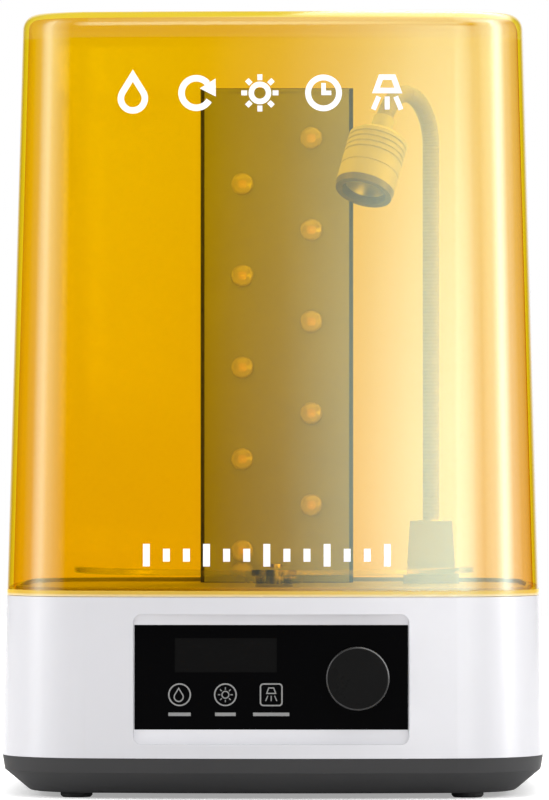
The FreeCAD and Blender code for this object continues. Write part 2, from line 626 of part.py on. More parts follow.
def panel_parts():
    face, seat = d.panel_face, d.panel_face - d.panel_t
    behind = seat - d.backing_t
    board = behind - d.board_gap
    plate = Piece("panel_plate", False)
    half_x, half_z = d.panel_width / 2, d.panel_height / 2
    plate.pad(rectangle(plate.sketch("XZ", seat), (-half_x, half_x),
                        (d.panel_level - half_z, d.panel_level + half_z)), d.panel_t)
    plate.dress("Fillet", lambda e: abs(e.BoundBox.YLength - SIZES["panel_t"]) < 0.01
                and e.BoundBox.XLength < 0.01, Radius=d.panel_corner)
    window_x = (d.window_x - d.window_width / 2, d.window_x + d.window_width / 2)
    window_z = (d.window_level - d.window_height / 2, d.window_level + d.window_height / 2)
    bushing_hole = cylinder((d.knob_x, -face - 1, d.knob_level), d.bushing_r, d.board_gap, BACK)
    node("control_panel", cut(plate.body, box(window_x, (-face - 1, 1 - seat), window_z), bushing_hole))
    node("display_window", box(window_x, (-seat - d.window_t, -seat), window_z))
    lens_x = (window_x[0] + 1, window_x[1] - 1)
    lens_z = (window_z[0] + 1, window_z[1] - 1)
    node("display_module", box(lens_x, (-seat, -board), lens_z))
    half_w, half_h = d.panel_board_width / 2, d.panel_board_height / 2
    plain = box((-half_w, half_w), (-board, d.board_t - board),
                (d.panel_level - half_h, d.panel_level + half_h))
    posts = [(i * d.panel_post_x, d.panel_level + j * d.panel_post_level) for i, j in CORNERS]
    node("panel_board", cut(plain, *[cylinder((x, -board - 1, z), d.screw_r, d.board_t + 2, BACK)
                                     for x, z in posts]))
    led_x, led_z = d.mode_led_width / 2, d.mode_led_height / 2
    group("mode_leds", [box((x - led_x, x + led_x), (-board - d.mode_led_t, -board),
                            (d.icon_level - led_z, d.icon_level + led_z)) for x in icon_places()])
    group("panel_standoffs", [cut(cylinder((x, -behind, z), d.panel_post_r, d.board_gap, BACK),
                                  cylinder((x, -behind - 1, z), d.screw_r, d.board_gap + 2, BACK))
                              for x, z in posts])
    copies("panel_screws", screw(d.board_t + d.board_gap),
           [spot(x, d.board_t - board, z, FRONT) for x, z in posts])
    encoder(behind, board)


def encoder(behind, board):
    x, z = d.knob_x, d.knob_level
    half = d.encoder_side / 2
    thread = d.backing_t + d.panel_t + d.nut_t + d.thread_stand
    case = fuse(box((x - half, x + half), (-behind, -board), (z - half, z + half)),
                cylinder((x, -behind, z), d.bushing_r, thread, FRONT))
    bore_r = d.shaft_r + d.running
    bore_length = d.board_gap + 2 * thread
    chamber = cylinder((x, -board - 1, z), d.rotor_r + d.running, d.rotor_t + 1, FRONT)
    node("encoder_body", cut(case, cylinder((x, -board - 1, z), bore_r, bore_length, FRONT), chamber))
    key = part("Prism", Circumradius=d.nut_r, Height=d.nut_t)
    key.Polygon = NUT_SIDES
    nut = place(key, (x, -d.panel_face, z), FRONT)
    node("encoder_nut", cut(nut, cylinder((x, 1 - d.panel_face, z), d.bushing_r, d.nut_t + 2, FRONT)))
    rotor_back = -board - d.encoder_floor
    square_hole = box((x - d.rotor_hub_r, x + d.rotor_hub_r), (rotor_back - d.rotor_t, rotor_back + 1),
                      (z - d.rotor_hub_r, z + d.rotor_hub_r))
    disc_t = d.rotor_t - d.rotor_play
    disc = cylinder((x, rotor_back, z), d.rotor_r, disc_t, FRONT)
    node("encoder_rotor", cut(disc, square_hole))
    tail = d.rotor_hub_r - d.running
    shaft_start = rotor_back - disc_t - d.touch_gap - d.knob_push
    knob_back = d.panel_face + d.knob_gap
    shaft_end = d.panel_face + d.knob_stand - d.knob_web + d.shaft_grip
    node("encoder_shaft", fuse(
        box((x - tail, x + tail), (shaft_start, rotor_back - d.knob_push), (z - tail, z + tail)),
        cylinder((x, shaft_start, z), d.shaft_r, shaft_start + shaft_end, FRONT)))
    knob = Piece("control_knob")
    rim, web, hole = d.knob_stand - d.knob_gap, d.knob_hollow, d.shaft_r
    sleeve_r, sleeve_end = hole + d.sleeve_t, web - d.sleeve_length
    profile = knob.sketch("XZ")
    polygon(profile, [(hole, sleeve_end), (sleeve_r, sleeve_end), (sleeve_r, web), (d.knob_hollow_r, web),
                      (d.knob_hollow_r, 0), (d.knob_r, 0), (d.knob_r, rim), (0, rim),
                      (0, shaft_end - knob_back), (hole, shaft_end - knob_back)])
    knob.turn(profile)
    knob.dress("Fillet", lambda e: abs(e.BoundBox.ZMin - rim.value) < 0.01
               and e.BoundBox.XLength > SIZES["knob_r"], Radius=d.knob_round)
    place(knob.body, (x, -knob_back, z), FRONT)


# Back wall: socket and rocker switch.

def rear_parts():
    y, z = d.rear_face, d.rear_level
    jack = Piece("power_jack")
    profile = jack.sketch("XZ")
    deep, rim, bevel = -d.jack_length, d.jack_flange_t, d.jack_round
    polygon(profile, [(0, deep), (d.jack_r, deep), (d.jack_r, 0), (d.jack_flange_r, 0),
                      (d.jack_flange_r, rim - bevel), (d.jack_flange_r - bevel, rim),
                      (d.jack_bore_r, rim), (d.jack_bore_r, -d.jack_floor),
                      (d.jack_pin_r, -d.jack_floor), (d.jack_pin_r, -d.jack_pin_set),
                      (0, -d.jack_pin_set)])
    jack.turn(profile)
    place(jack.body, (d.jack_x, y, z), BACK)
    x = d.switch_x
    half_x, half_z = switch_body_half()
    frame = box((x - d.switch_width / 2, x + d.switch_width / 2), (y, y + d.switch_stand),
                (z - d.switch_height / 2, z + d.switch_height / 2))
    can = box((x - half_x, x + half_x), (y - d.switch_depth, y), (z - half_z, z + half_z))
    well_x, well_z = half_x - d.well_x_t, half_z - d.well_z_t
    well = box((x - well_x, x + well_x), (y - d.well_depth, y + d.switch_stand + 1),
               (z - well_z, z + well_z))
    pivot = (x, y + d.rocker_out, z - half_z + d.rocker_pin_inset)
    pivot_length = 2 * (half_z - d.rocker_pin_inset)
    pivot_holes = cylinder(pivot, d.rocker_pin_r + d.running, pivot_length)
    node("power_switch_body", cut(fuse(frame, can), well, pivot_holes))
    # The rocker is a dished wedge on two pins, tipped to its off position about their upright axis.
    half_paddle = well_x - d.touch_gap
    tall = 2 * (well_z - d.touch_gap)
    paddle = Piece("rocker_paddle", False)
    profile = paddle.sketch()
    polygon(profile, [(-half_paddle, -d.rocker_out), (-d.rocker_foot, -d.rocker_depth),
                      (d.rocker_foot, -d.rocker_depth), (half_paddle, -d.rocker_out),
                      (half_paddle, d.rocker_rise), (0, d.rocker_dish), (-half_paddle, d.rocker_rise)])
    paddle.pad(profile, tall)
    place(paddle.body, (x, y + d.rocker_out, z - tall / 2))
    paddle.body.Placement.Rotation = Rotation(UP, -SIZES["rocker_tilt"])
    pins = cylinder(pivot, d.rocker_pin_r, pivot_length)
    node("power_rocker", fuse(paddle.body, pins))


# Turntable: a clear plate on a hub that turns on a fixed pin, driven by magnets through the deck.

def magnet_ring(base, radius, height):
    return [cylinder((i * d.magnet_ring * math.sqrt(0.5), d.spin_y + j * d.magnet_ring * math.sqrt(0.5),
                      base), radius, height) for i, j in CORNERS]


def turntable():
    pin_base = d.floor_top - d.floor_t
    node("pivot_pin", cylinder((0, d.spin_y, pin_base), d.pin_r, d.pin_top - pin_base))
    hub = Piece("hub_turned", False)
    profile = hub.sketch("XZ")
    bore = d.pin_r + d.running
    seat = d.platter_top - d.platter_t - d.touch_gap
    bevel, edge, top = d.hub_bevel, d.hub_round, d.platter_top - d.hub_sink
    polygon(profile, [(bore, d.hub_base), (d.hub_r - bevel, d.hub_base), (d.hub_r, d.hub_base + bevel),
                      (d.hub_r, seat - edge), (d.hub_r - edge, seat), (d.spigot_r, seat),
                      (d.spigot_r, top - edge), (d.spigot_r - edge, top), (bore, top)])
    hub.turn(profile)
    place(hub.body, (0, d.spin_y, 0))
    half_key = d.hub_key_width / 2
    key_y, key_z = (d.spin_y - half_key, d.spin_y + half_key), (seat - 1, d.platter_top - d.key_sink)
    keys = [box((d.spigot_r - 1, d.spigot_r + d.hub_key), key_y, key_z),
            box((-d.spigot_r - d.hub_key, 1 - d.spigot_r), key_y, key_z)]
    node("turntable_hub", cut(fuse(hub.body, *keys),
                              *magnet_ring(d.hub_base - 1, d.hub_magnet_r, d.hub_magnet_t + 1)))
    group("hub_magnets", magnet_ring(d.hub_base, d.hub_magnet_r, d.hub_magnet_t))
    plate = Piece("plate_turned", False)
    profile = plate.sketch("XZ")
    low, high, rim = d.platter_top - d.platter_t, d.platter_top, d.platter_r
    hole = d.spigot_r + d.touch_gap
    bevel = d.plate_bevel
    polygon(profile, [(hole, low), (rim - bevel, low), (rim, low + bevel), (rim, high - bevel),
                      (rim - bevel, high), (hole, high)])
    plate.turn(profile)
    place(plate.body, (0, d.spin_y, 0))
    reach, half_way = d.spigot_r + d.hub_key + d.touch_gap, half_key + d.touch_gap
    keyway = box((-reach, reach), (d.spin_y - half_way, d.spin_y + half_way), (low - 1, high + 1))
    node("platter", cut(plate.body, keyway))


def drive():
    y, top = d.spin_y, d.motor_top
    motor = fuse(cylinder((0, y, d.motor_base), d.motor_r, top - d.motor_base),
                 cylinder((0, y, d.motor_base - d.gearbox_t), d.gearbox_r, d.gearbox_t),
                 cylinder((0, y, top), d.motor_neck_r, d.bracket_t))
    ears = [cylinder((i * d.ear_x, y, top - d.ear_t), d.ear_r, d.ear_t) for i in SIDES]
    bore = cylinder((0, y, top - d.shaft_depth - 1), d.motor_shaft_r + d.running, 2 * d.shaft_depth)
    ear_holes = [cylinder((i * d.ear_x, y, top - d.ear_t - 1), d.screw_r, 2 * d.ear_t) for i in SIDES]
    node("drive_motor", cut(fuse(motor, *ears), bore, *ear_holes))
    half = d.motor_post + d.motor_post_r + 1
    plate = box((-half, half), (y - half, y + half), (top, top + d.bracket_t))
    post_places = [(i * d.motor_post, y + j * d.motor_post) for i, j in CORNERS]
    ear_places = [(i * d.ear_x, y) for i in SIDES]
    holes = [cylinder((at_x, at_y, top - 1), d.screw_r, d.bracket_t + 2)
             for at_x, at_y in post_places + ear_places]
    holes.append(cylinder((0, y, top - 1), d.motor_neck_r, d.bracket_t + 2))
    node("motor_bracket", cut(plate, *holes))
    copies("motor_screws", screw(d.bracket_t + d.motor_screw_reach),
           [spot(at_x, at_y, top) for at_x, at_y in post_places]
           + [spot(at_x, at_y, top - d.ear_t) for at_x, at_y in ear_places])
    shaft_low = top - d.shaft_depth
    node("motor_shaft", cylinder((0, y, shaft_low), d.motor_shaft_r, d.carrier_top - shaft_low))
    disc_low = d.carrier_base + d.carrier_rim
    disc = fuse(cylinder((0, y, disc_low), d.carrier_r, d.carrier_top - disc_low),
                cylinder((0, y, d.carrier_base - d.carrier_hub_stand), d.carrier_hub_r, d.carrier_rim * 2))
    magnet_low = d.carrier_top - d.drive_magnet_t
    shaft_hole = cylinder((0, y, shaft_low), d.motor_shaft_r, d.carrier_top)
    node("magnet_carrier", cut(disc, shaft_hole,
                               *magnet_ring(magnet_low, d.hub_magnet_r, d.drive_magnet_t + 1)))
    group("drive_magnets", magnet_ring(magnet_low, d.hub_magnet_r, d.drive_magnet_t))


# Light tower at the back of the deck.

def led_places():
    """Centres of the light sources: two columns, half a pitch apart."""
    return [(side * d.column_x, low + step * d.row_pitch)
            for side, low in ((-1, d.left_row), (1, d.right_row)) for step in range(LEDS_PER_COLUMN)]


def tower():
    half, front, back, top = d.tower_half, d.tower_front, d.tower_back, d.tower_top
    low = d.floor_top
    shell = Piece("tower_shell", False)
    shell.pad(rectangle(shell.sketch("XY", low), (-half, half), (front, back)), top - low)
    shell.dress("Fillet", lambda e: (e.BoundBox.ZLength > 100
                                     and e.BoundBox.YMin > SIZES["tower_back"] - 1),
                Radius=d.tower_round)
    sill = low + d.tower_sill
    inner = box((d.tower_t - half, half - d.tower_t), (front - 1, back - d.tower_t),
                (sill, top - d.tower_t))
    foot_bosses = [cylinder((x, y, low), d.tower_boss_r, d.tower_boss_t) for x, y in tower_screw_places()]
    holes = [cylinder((x, y, low - 1), d.screw_r, d.tower_sill + 2) for x, y in tower_screw_places()]
    wire_way = cylinder((0, (front + back) / 2 + 2, low - 1), d.ear_r, 2 * d.tower_sill)
    plate_y = (front + d.touch_gap, front + d.touch_gap + d.tower_panel_t)
    inside_z = (low + d.rail_margin, top - d.rail_margin)
    rails = []
    for side in SIDES:  # the front panel lies against these
        edges = sorted((side * (d.panel_half - 2), side * (half - 1)), key=lambda amount: amount.value)
        rails.append(box(edges, (plate_y[1], plate_y[1] + d.rail_t), inside_z))
    node("tower_housing", cut(cut(shell.body, cut(inner, *foot_bosses, *rails)), wire_way, *holes))
    plate = Piece("tower_plate", False)
    plate.pad(rectangle(plate.sketch("XZ", -plate_y[1]), (-d.panel_half, d.panel_half),
                        (sill + d.touch_gap, top - d.tower_t - d.touch_gap)), d.tower_panel_t)
    openings = [cylinder((x, plate_y[0] - 1, z), d.lens_r + d.running, d.tower_panel_t + 2, BACK)
                for x, z in led_places()]
    node("tower_front_panel", cut(plate.body, *openings))
    board_y = plate_y[1] + d.board_depth
    board_back = board_y + d.board_t
    node("led_board", box((-d.board_half, d.board_half), (board_y, board_back), inside_z))
    plate_back = board_back + d.sink_plate_t
    fins = [box((step * d.fin_pitch - d.fin_t / 2, step * d.fin_pitch + d.fin_t / 2),
                (plate_back - 1, plate_back + d.sink_t), inside_z) for step in NINE_ROWS]
    sink_plate = box((-d.board_half, d.board_half), (board_back, plate_back), inside_z)
    node("led_heatsink", fuse(sink_plate, *fins))
    side = d.led_side / 2
    group("led_packages", [box((x - side, x + side), (board_y - d.led_t, board_y), (z - side, z + side))
                           for x, z in led_places()])
    flange = d.board_depth - d.led_t - d.lens_play
    copies("led_lenses", lens_dome(flange), [spot(x, plate_y[1] + flange, z, FRONT)
                                             for x, z in led_places()])
    sensor_y = back - d.tower_t
    sensor_x, sensor_z = d.sensor_width / 2, d.sensor_height / 2
    node("cover_sensor", box((-sensor_x, sensor_x), (sensor_y - d.sensor_t, sensor_y),
                             (d.magnet_level - sensor_z, d.magnet_level + sensor_z)))


def lens_dome(flange):
    """A domed lens. Its own Z points to the front, from the back of its flange."""
    dome = Piece("lens_master", False)
    wall_top = flange + d.tower_panel_t + d.lens_wall
    rise = d.lens_stand - d.lens_wall
    profile = dome.sketch("XZ")
    outline = [(0, 0), (d.lens_flange_r, 0), (d.lens_flange_r, flange), (d.lens_r, flange)]
    outline += [(d.lens_r * across, wall_top + rise * up) for across, up in DOME_SHAPE]
    polygon(profile, outline)
    dome.turn(profile)
    return dome.body


# Gooseneck lamp. Its neck lies in an upright plane that faces the work.

def heading():
    angle = math.radians(SIZES["neck_heading"])
    return Vector(math.cos(angle), math.sin(angle), 0)


def neck_point(angle):
    """A point on the bend's centre line and the direction there, at an angle from upright."""
    turn = math.radians(angle)
    radius = SIZES["bend_r"]
    stem = Vector(SIZES["lamp_x"], SIZES["lamp_y"], SIZES["stem_top"])
    point = stem + heading() * radius * (1 - math.cos(turn)) + UP * radius * math.sin(turn)
    return point, heading() * math.sin(turn) + UP * math.cos(turn)


def gooseneck():
    x, y = d.lamp_x, d.lamp_y
    foot = box((x - d.foot_side / 2, x + d.foot_side / 2), (y - d.foot_side / 2, y + d.foot_side / 2),
               (d.floor_top, d.foot_top))
    block = Piece("block_loft", False)
    low = rectangle(block.sketch("XY", d.foot_top), (x - d.block_side / 2, x + d.block_side / 2),
                    (y - d.block_side / 2, y + d.block_side / 2))
    high = rectangle(block.sketch("XY", d.block_top), (x - d.block_tip / 2, x + d.block_tip / 2),
                     (y - d.block_tip / 2, y + d.block_tip / 2))
    block.loft(low, high)
    bore = cylinder((x, y, d.block_top - d.ferrule_length), d.ferrule_r + d.running, d.ferrule_length + 1)
    wire = cylinder((x, y, d.floor_top - 1), d.socket_wire_r, d.block_top - d.floor_top)
    holes = [cylinder((sx, sy, d.floor_top - 1), d.screw_r, d.socket_screw_reach + 1)
             for sx, sy in socket_screw_places()]
    node("lamp_socket", cut(fuse(foot, block.body), bore, wire, *holes))
    ferrule_low = d.block_top - d.ferrule_length + d.touch_gap
    node("neck_ferrule", cut(cylinder((x, y, ferrule_low), d.ferrule_r, d.ferrule_length),
                             cylinder((x, y, ferrule_low - 1), d.neck_r, d.ferrule_length + 2)))
    stem = fuse(cylinder((x, y, ferrule_low), d.neck_r, d.stem_top - ferrule_low),
                place(part("Sphere", Radius=d.neck_r), (x, y, d.stem_top)))
    node("neck_stem", stem)
    for number in range(1, LINKS + 1):
        node(f"neck_link_{number}", neck_link(number))
    lamp_head()


def neck_link(number):
    """One bent piece: a hollow at its lower end seats the ball of the piece before it."""
    step = SIZES["bend_angle"] / LINKS
    arc_angle = d.bend_angle / LINKS
    bend = doc.addObject("Part::Torus", "Bend")
    bind(bend, "Radius1", d.bend_r)
    bind(bend, "Radius2", d.neck_r)
    bind(bend, "Angle3", arc_angle)
    # The torus's own X points back to the stem and its Y up, so its turn starts at the stem's top.
    outward = -heading()
    basis = Rotation(outward, UP, outward.cross(UP), "XYZ")
    centre = Vector(SIZES["lamp_x"], SIZES["lamp_y"], SIZES["stem_top"]) + heading() * SIZES["bend_r"]
    bend.Placement = Placement(centre, basis.multiply(Rotation(UP, (number - 1) * step)))
    start, _ = neck_point((number - 1) * step)
    end, _ = neck_point(number * step)
    seat = part("Sphere", Radius=d.neck_r + d.ball_clearance)
    seat.Placement = Placement(start, Rotation())
    pieces = cut(bend, seat)
    if number == LINKS:
        return pieces
    ball = part("Sphere", Radius=d.neck_r)
    ball.Placement = Placement(end, Rotation())
    return fuse(pieces, ball)


def along_lamp():
    point, direction = neck_point(SIZES["bend_angle"])
    return Placement(point, Rotation(UP, direction))


def lamp_piece(name, points):
    """A turned piece of the lamp, drawn along its own axis from the end of the neck."""
    piece = Piece(name)
    profile = piece.sketch("XZ")
    polygon(profile, points)
    piece.turn(profile)
    piece.body.Placement = along_lamp()
    return piece


def lamp_head():
    wire_r, edge = d.wire_r, d.collar_round
    lamp_piece("lamp_collar", [(wire_r, 0), (d.collar_r - edge, 0), (d.collar_r, edge),
                               (d.collar_r, d.collar_length), (wire_r, d.collar_length)])
    start = d.collar_length
    full = d.lamp_r
    groove, side = full - d.groove_depth, d.groove_side
    outline = [(wire_r, start), (full - d.shoulder_width, start), (full, start + d.shoulder_height)]
    for step in range(COOLING_GROOVES):
        low = start + d.first_groove + step * d.groove_pitch
        high = low + d.groove_width
        outline += [(full, low), (groove, low + side), (groove, high - side), (full, high)]
    ring = start + d.ring_at
    seam, seam_end = full - d.seam_depth, ring + d.seam_width
    end = start + d.lamp_length - d.bezel_t
    inner = full - d.lamp_wall
    back = start + d.lamp_back
    outline += [(full, ring), (seam, ring + side), (seam, seam_end - side), (full, seam_end),
                (full, end), (inner, end), (inner, back), (wire_r, back)]
    lamp_piece("lamp_body", outline)
    board_top = back + d.lamp_board_t
    lamp_piece("lamp_board", [(0, back), (d.lamp_board_r, back), (d.lamp_board_r, board_top),
                              (0, board_top)])
    lens_high = end - d.lens_sink
    lens_low = lens_high - d.lens_t
    bezel_r = full - d.bezel_round
    lamp_piece("lamp_reflector", [(d.chip_side, board_top), (d.chip_side + d.reflector_t, board_top),
                                  (inner, lens_low), (inner - d.reflector_rim, lens_low)])
    lamp_piece("lamp_lens", [(0, lens_low), (inner, lens_low), (inner, lens_high), (0, lens_high)])
    rim = end + d.bezel_t
    mouth = inner - d.bezel_wall
    lamp_piece("lamp_bezel", [(mouth, lens_high), (inner, lens_high), (inner, end), (full, end),
                              (bezel_r, rim), (mouth + d.bezel_lip, rim)])
    half = d.chip_side / 2
    chip = part("Box", Length=d.chip_side, Width=d.chip_side, Height=d.chip_t)
    offset = Placement(Vector(-half.value, -half.value, board_top.value), Rotation())
    chip.Placement = along_lamp().multiply(offset)
    node("lamp_chip", chip)


# Main board, in the tray.

def main_board():
    x, y, level = d.main_x, d.main_y, d.main_level
    half_x, half_y = d.main_length / 2, d.main_width / 2
    plain = box((x - half_x, x + half_x), (y - half_y, y + half_y), (level, level + d.board_t))
    holes = [cylinder((cx, cy, level - 1), d.screw_r, d.board_t + 2) for cx, cy in board_corners()]
    node("main_board", cut(plain, *holes))
    top = level + d.board_t
    items = [box((x + dx - w / 2, x + dx + w / 2), (y + dy - v / 2, y + dy + v / 2), (top, top + tall))
             for dx, dy, w, v, tall in BOARD_BLOCKS]
    items += [cylinder((x + dx, y + dy, top), radius, tall) for dx, dy, radius, tall in BOARD_CANS]
    group("main_board_parts", items)
    copies("board_screws", turned_over(), [spot(cx, cy, top) for cx, cy in board_corners()])


def turned_over():
    """A board screw, whose head is above its own origin and whose shank goes down."""
    master = screw(d.board_screw_length)
    master.Placement = Placement(Vector(), Rotation(UP, DOWN))
    return master


# Amber cover.

def uv_cover():
    base, top, wall = d.cover_base, d.cover_top, d.cover_wall
    cover = Piece("uv_cover")
    cover.pad(bowed_outline(cover.sketch("XY", base), drop(base)), top - base, -d.draft)
    cover.dress("Fillet", at_level(top), Radius=d.cover_round)
    above = base + d.rim_height
    rim_opening = bowed_outline(cover.sketch("XY", base), drop(base) + d.rim_wall)
    cover.pocket(rim_opening, d.rim_height + 1, 0, True)
    hollow = bowed_outline(cover.sketch("XY", above), drop(above) + wall)
    cover.pocket(hollow, top - wall - above, -d.draft, True)
    cover.dress("Fillet", at_level(top - wall), Radius=d.cover_round - wall)
    half = d.magnet_side / 2
    inner_back = d.half_depth - drop(d.magnet_level) - wall
    magnet_back = inner_back - d.touch_gap
    node("cover_magnet", box((-half, half), (magnet_back - d.magnet_t, magnet_back),
                             (d.magnet_level - half, d.magnet_level + half)))


lower_tray()
rubber_feet()
upper_housing()
deck()
base_screws()
panel_parts()
rear_parts()
turntable()
drive()
tower()
gooseneck()
main_board()
uv_cover()
doc.recompute()

for item in doc.Objects:
    if "Invalid" in item.State or "Error" in item.State:
        raise RuntimeError(f"{item.Name} ({item.Label}) failed to rebuild: {item.State}")
os.makedirs("parts", exist_ok=True)
for name, item in NODES.items():
    shape = item.Shape
    if shape.isNull() or not shape.isValid() or not shape.Solids:
        raise RuntimeError(f"{name} has no valid solid")
    shape.exportStep(f"parts/{name}.step")
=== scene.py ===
"""Looks of the UV curing lamp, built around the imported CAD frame. Metres, +Z up, front towards -Y."""
import json
import math

import bmesh
import bpy
from mathutils import Matrix, Quaternion, Vector
from mathutils.bvhtree import BVHTree


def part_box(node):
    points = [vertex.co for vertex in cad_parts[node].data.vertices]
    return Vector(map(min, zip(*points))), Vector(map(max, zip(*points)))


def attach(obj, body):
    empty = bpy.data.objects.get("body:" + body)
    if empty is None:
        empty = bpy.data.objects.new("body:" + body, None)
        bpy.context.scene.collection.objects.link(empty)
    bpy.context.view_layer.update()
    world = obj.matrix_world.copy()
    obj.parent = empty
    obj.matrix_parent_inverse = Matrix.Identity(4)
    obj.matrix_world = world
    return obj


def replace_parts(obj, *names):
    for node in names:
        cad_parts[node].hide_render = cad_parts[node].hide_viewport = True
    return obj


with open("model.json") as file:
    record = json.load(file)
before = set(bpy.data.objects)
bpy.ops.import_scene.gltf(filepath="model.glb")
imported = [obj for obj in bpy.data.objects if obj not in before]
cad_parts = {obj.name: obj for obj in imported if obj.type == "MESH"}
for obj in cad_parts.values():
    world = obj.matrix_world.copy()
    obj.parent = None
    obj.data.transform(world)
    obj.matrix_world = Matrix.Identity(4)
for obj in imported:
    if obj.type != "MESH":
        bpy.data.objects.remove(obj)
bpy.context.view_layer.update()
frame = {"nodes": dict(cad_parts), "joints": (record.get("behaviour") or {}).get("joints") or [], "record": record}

nodes = frame["nodes"]
joints = {joint["name"]: joint for joint in frame["joints"]}
scene = bpy.context.scene
scene.view_settings.view_transform = "Standard"
scene.view_settings.look = "None"

MM = 0.001
FRONT = Vector((0, -1, 0))
UP = Vector((0, 0, 1))


# Node trees.

class Nodes:
    """Short calls for building a node tree."""

    def __init__(self, tree):
        self.nodes = tree.nodes
        self.links = tree.links

    def add(self, kind, inputs=None, **settings):
        """A node, with its settings and the values or links of its inputs, by name or number."""
        node = self.nodes.new(f"ShaderNode{kind}")
        for name, value in settings.items():
            setattr(node, name, value)
        for name, value in (inputs or {}).items():
            self.feed(node.inputs[name], value)
        return node

    def feed(self, socket, value):
        if isinstance(value, bpy.types.NodeSocket):
            self.links.new(value, socket)
        elif socket.type == "RGBA":
            socket.default_value = (*value, 1)
        else:
            socket.default_value = value

    def math(self, operation, *values):
        node = self.add("Math", dict(enumerate(values)), operation=operation)
        return node.outputs[0]

    def span(self, value, start, end, low=0.0, high=1.0, smooth=False):
        """Maps start..end onto low..high, held at both ends."""
        node = self.add("MapRange", {"Value": value, "From Min": start, "From Max": end,
                                     "To Min": low, "To Max": high},
                        interpolation_type="SMOOTHSTEP" if smooth else "LINEAR")
        return node.outputs["Result"]

    def ramp(self, value, stops):
        """A colour ramp from (place, colour) stops."""
        node = self.add("ValToRGB", {"Fac": value})
        elements = node.color_ramp.elements
        while len(elements) < len(stops):
            elements.new(1.0)
        for element, (place, colour) in zip(elements, stops):
            element.position = place
            element.color = (*colour, 1)
        return node.outputs["Color"]


NOISE_SPREAD = (0.3, 0.7)       # the range that a noise's values mostly fill


class Material(Nodes):
    """A material under construction. Its patterns use the object's own coordinates, in metres."""

    def __init__(self, name, **values):
        self.material = bpy.data.materials.new(name)
        self.material.use_nodes = True
        super().__init__(self.material.node_tree)
        self.shader = self.nodes["Principled BSDF"]
        self.output = self.nodes["Material Output"]
        self.place = self.add("TexCoord").outputs["Object"]
        for name, value in values.items():
            self.feed(self.shader.inputs[name.replace("_", " ")], value)

    def noise(self, scale, detail=4, roughness=0.5, stretch=(1, 1, 1)):
        mapping = self.add("Mapping", {"Vector": self.place, "Scale": stretch})
        noise = self.add("TexNoise", {"Vector": mapping.outputs["Vector"], "Scale": scale,
                                      "Detail": detail, "Roughness": roughness})
        return noise.outputs["Fac"]

    def tint(self, source, first, second):
        """Base colour between two colours, over the usual spread of a noise."""
        colour = self.ramp(source, list(zip(NOISE_SPREAD, (first, second))))
        self.feed(self.shader.inputs["Base Color"], colour)

    def bump(self, source, strength, distance):
        bump = self.add("Bump", {"Height": source, "Strength": strength, "Distance": distance})
        self.feed(self.shader.inputs["Normal"], bump.outputs["Normal"])

    def rough(self, source, low, high):
        self.feed(self.shader.inputs["Roughness"], self.span(source, *NOISE_SPREAD, low, high))

    def schlick(self, reflection):
        """Share of light reflected, from its value square on to all of it at grazing angles."""
        grazing = self.math("POWER", self.facing(), 5.0)
        return self.math("MULTIPLY_ADD", grazing, 1.0 - reflection, reflection)

    def facing(self):
        """0 where the surface is seen square on, 1 where it is seen edge on."""
        return self.add("LayerWeight", {"Blend": 0.5}).outputs["Facing"]

    def surface(self, shader):
        self.feed(self.output.inputs["Surface"], shader.outputs[0])
        return self.material


def shade(factor, colour):
    return tuple(c * factor for c in colour)


def moulded(name, colour, rough=(0.35, 0.45), grain=900, depth=0.02 * MM, vary=0.06,
            specular=0.5, painted_glow=0.0):
    """Injection-moulded plastic: spark-eroded grain, with faint clouding in colour and gloss.
    grain counts bumps to the metre and depth is theirs; vary is the clouding's share of colour; painted_glow lets
    the colour glow, as painted light."""
    made = Material(name, IOR=1.5, Specular_IOR_Level=specular,
                    Emission_Color=colour, Emission_Strength=painted_glow)
    made.tint(made.noise(9, 5, 0.6), shade(1 - vary, colour), shade(1 + vary, colour))
    made.rough(made.noise(60, 6, 0.65), *rough)
    made.bump(made.noise(grain, 3, 0.6), 0.35, depth)
    return made.material


def metal(name, colour, rough=(0.25, 0.4)):
    """Turned, brushed or plated metal, with brush lines that repeat up its height."""
    made = Material(name, Metallic=1.0)
    lines = made.noise(220, 4, 0.6, (1, 1, 30))
    made.tint(lines, shade(0.88, colour), shade(1.06, colour))
    made.rough(lines, *rough)
    made.bump(lines, 0.25, 0.01 * MM)
    return made.material


def clear(name, colour, rough):
    """Clear moulded or cut plastic that lets lamp light through."""
    made = Material(name, Base_Color=colour, IOR=1.49, Transmission_Weight=1.0)
    made.rough(made.noise(40, 4, 0.6), rough, rough * 2)
    through = made.add("BsdfTransparent", {"Color": colour})
    path = made.add("LightPath")
    return made.surface(made.add("MixShader", {0: path.outputs["Is Shadow Ray"],
                                               1: made.shader.outputs["BSDF"],
                                               2: through.outputs["BSDF"]}))


def thin_clear(name, tint, reflection, diffuse_part=0.0):
    """Clear plastic that doesn't bend what is behind it. Each face tints, reflects and scatters."""
    made = Material(name)
    through = made.add("BsdfTransparent", {"Color": tint})
    gloss = made.add("BsdfGlossy", {"Color": (1, 1, 1)})
    rough = made.span(made.noise(60, 4, 0.6), *NOISE_SPREAD, 0.04, 0.08)
    made.feed(gloss.inputs["Roughness"], rough)
    milk = made.add("BsdfDiffuse", {"Color": tint})
    body = made.add("MixShader", {0: diffuse_part, 1: through.outputs["BSDF"], 2: milk.outputs["BSDF"]})
    return made.surface(made.add("MixShader", {0: made.schlick(reflection), 1: body.outputs[0],
                                               2: gloss.outputs["BSDF"]}))


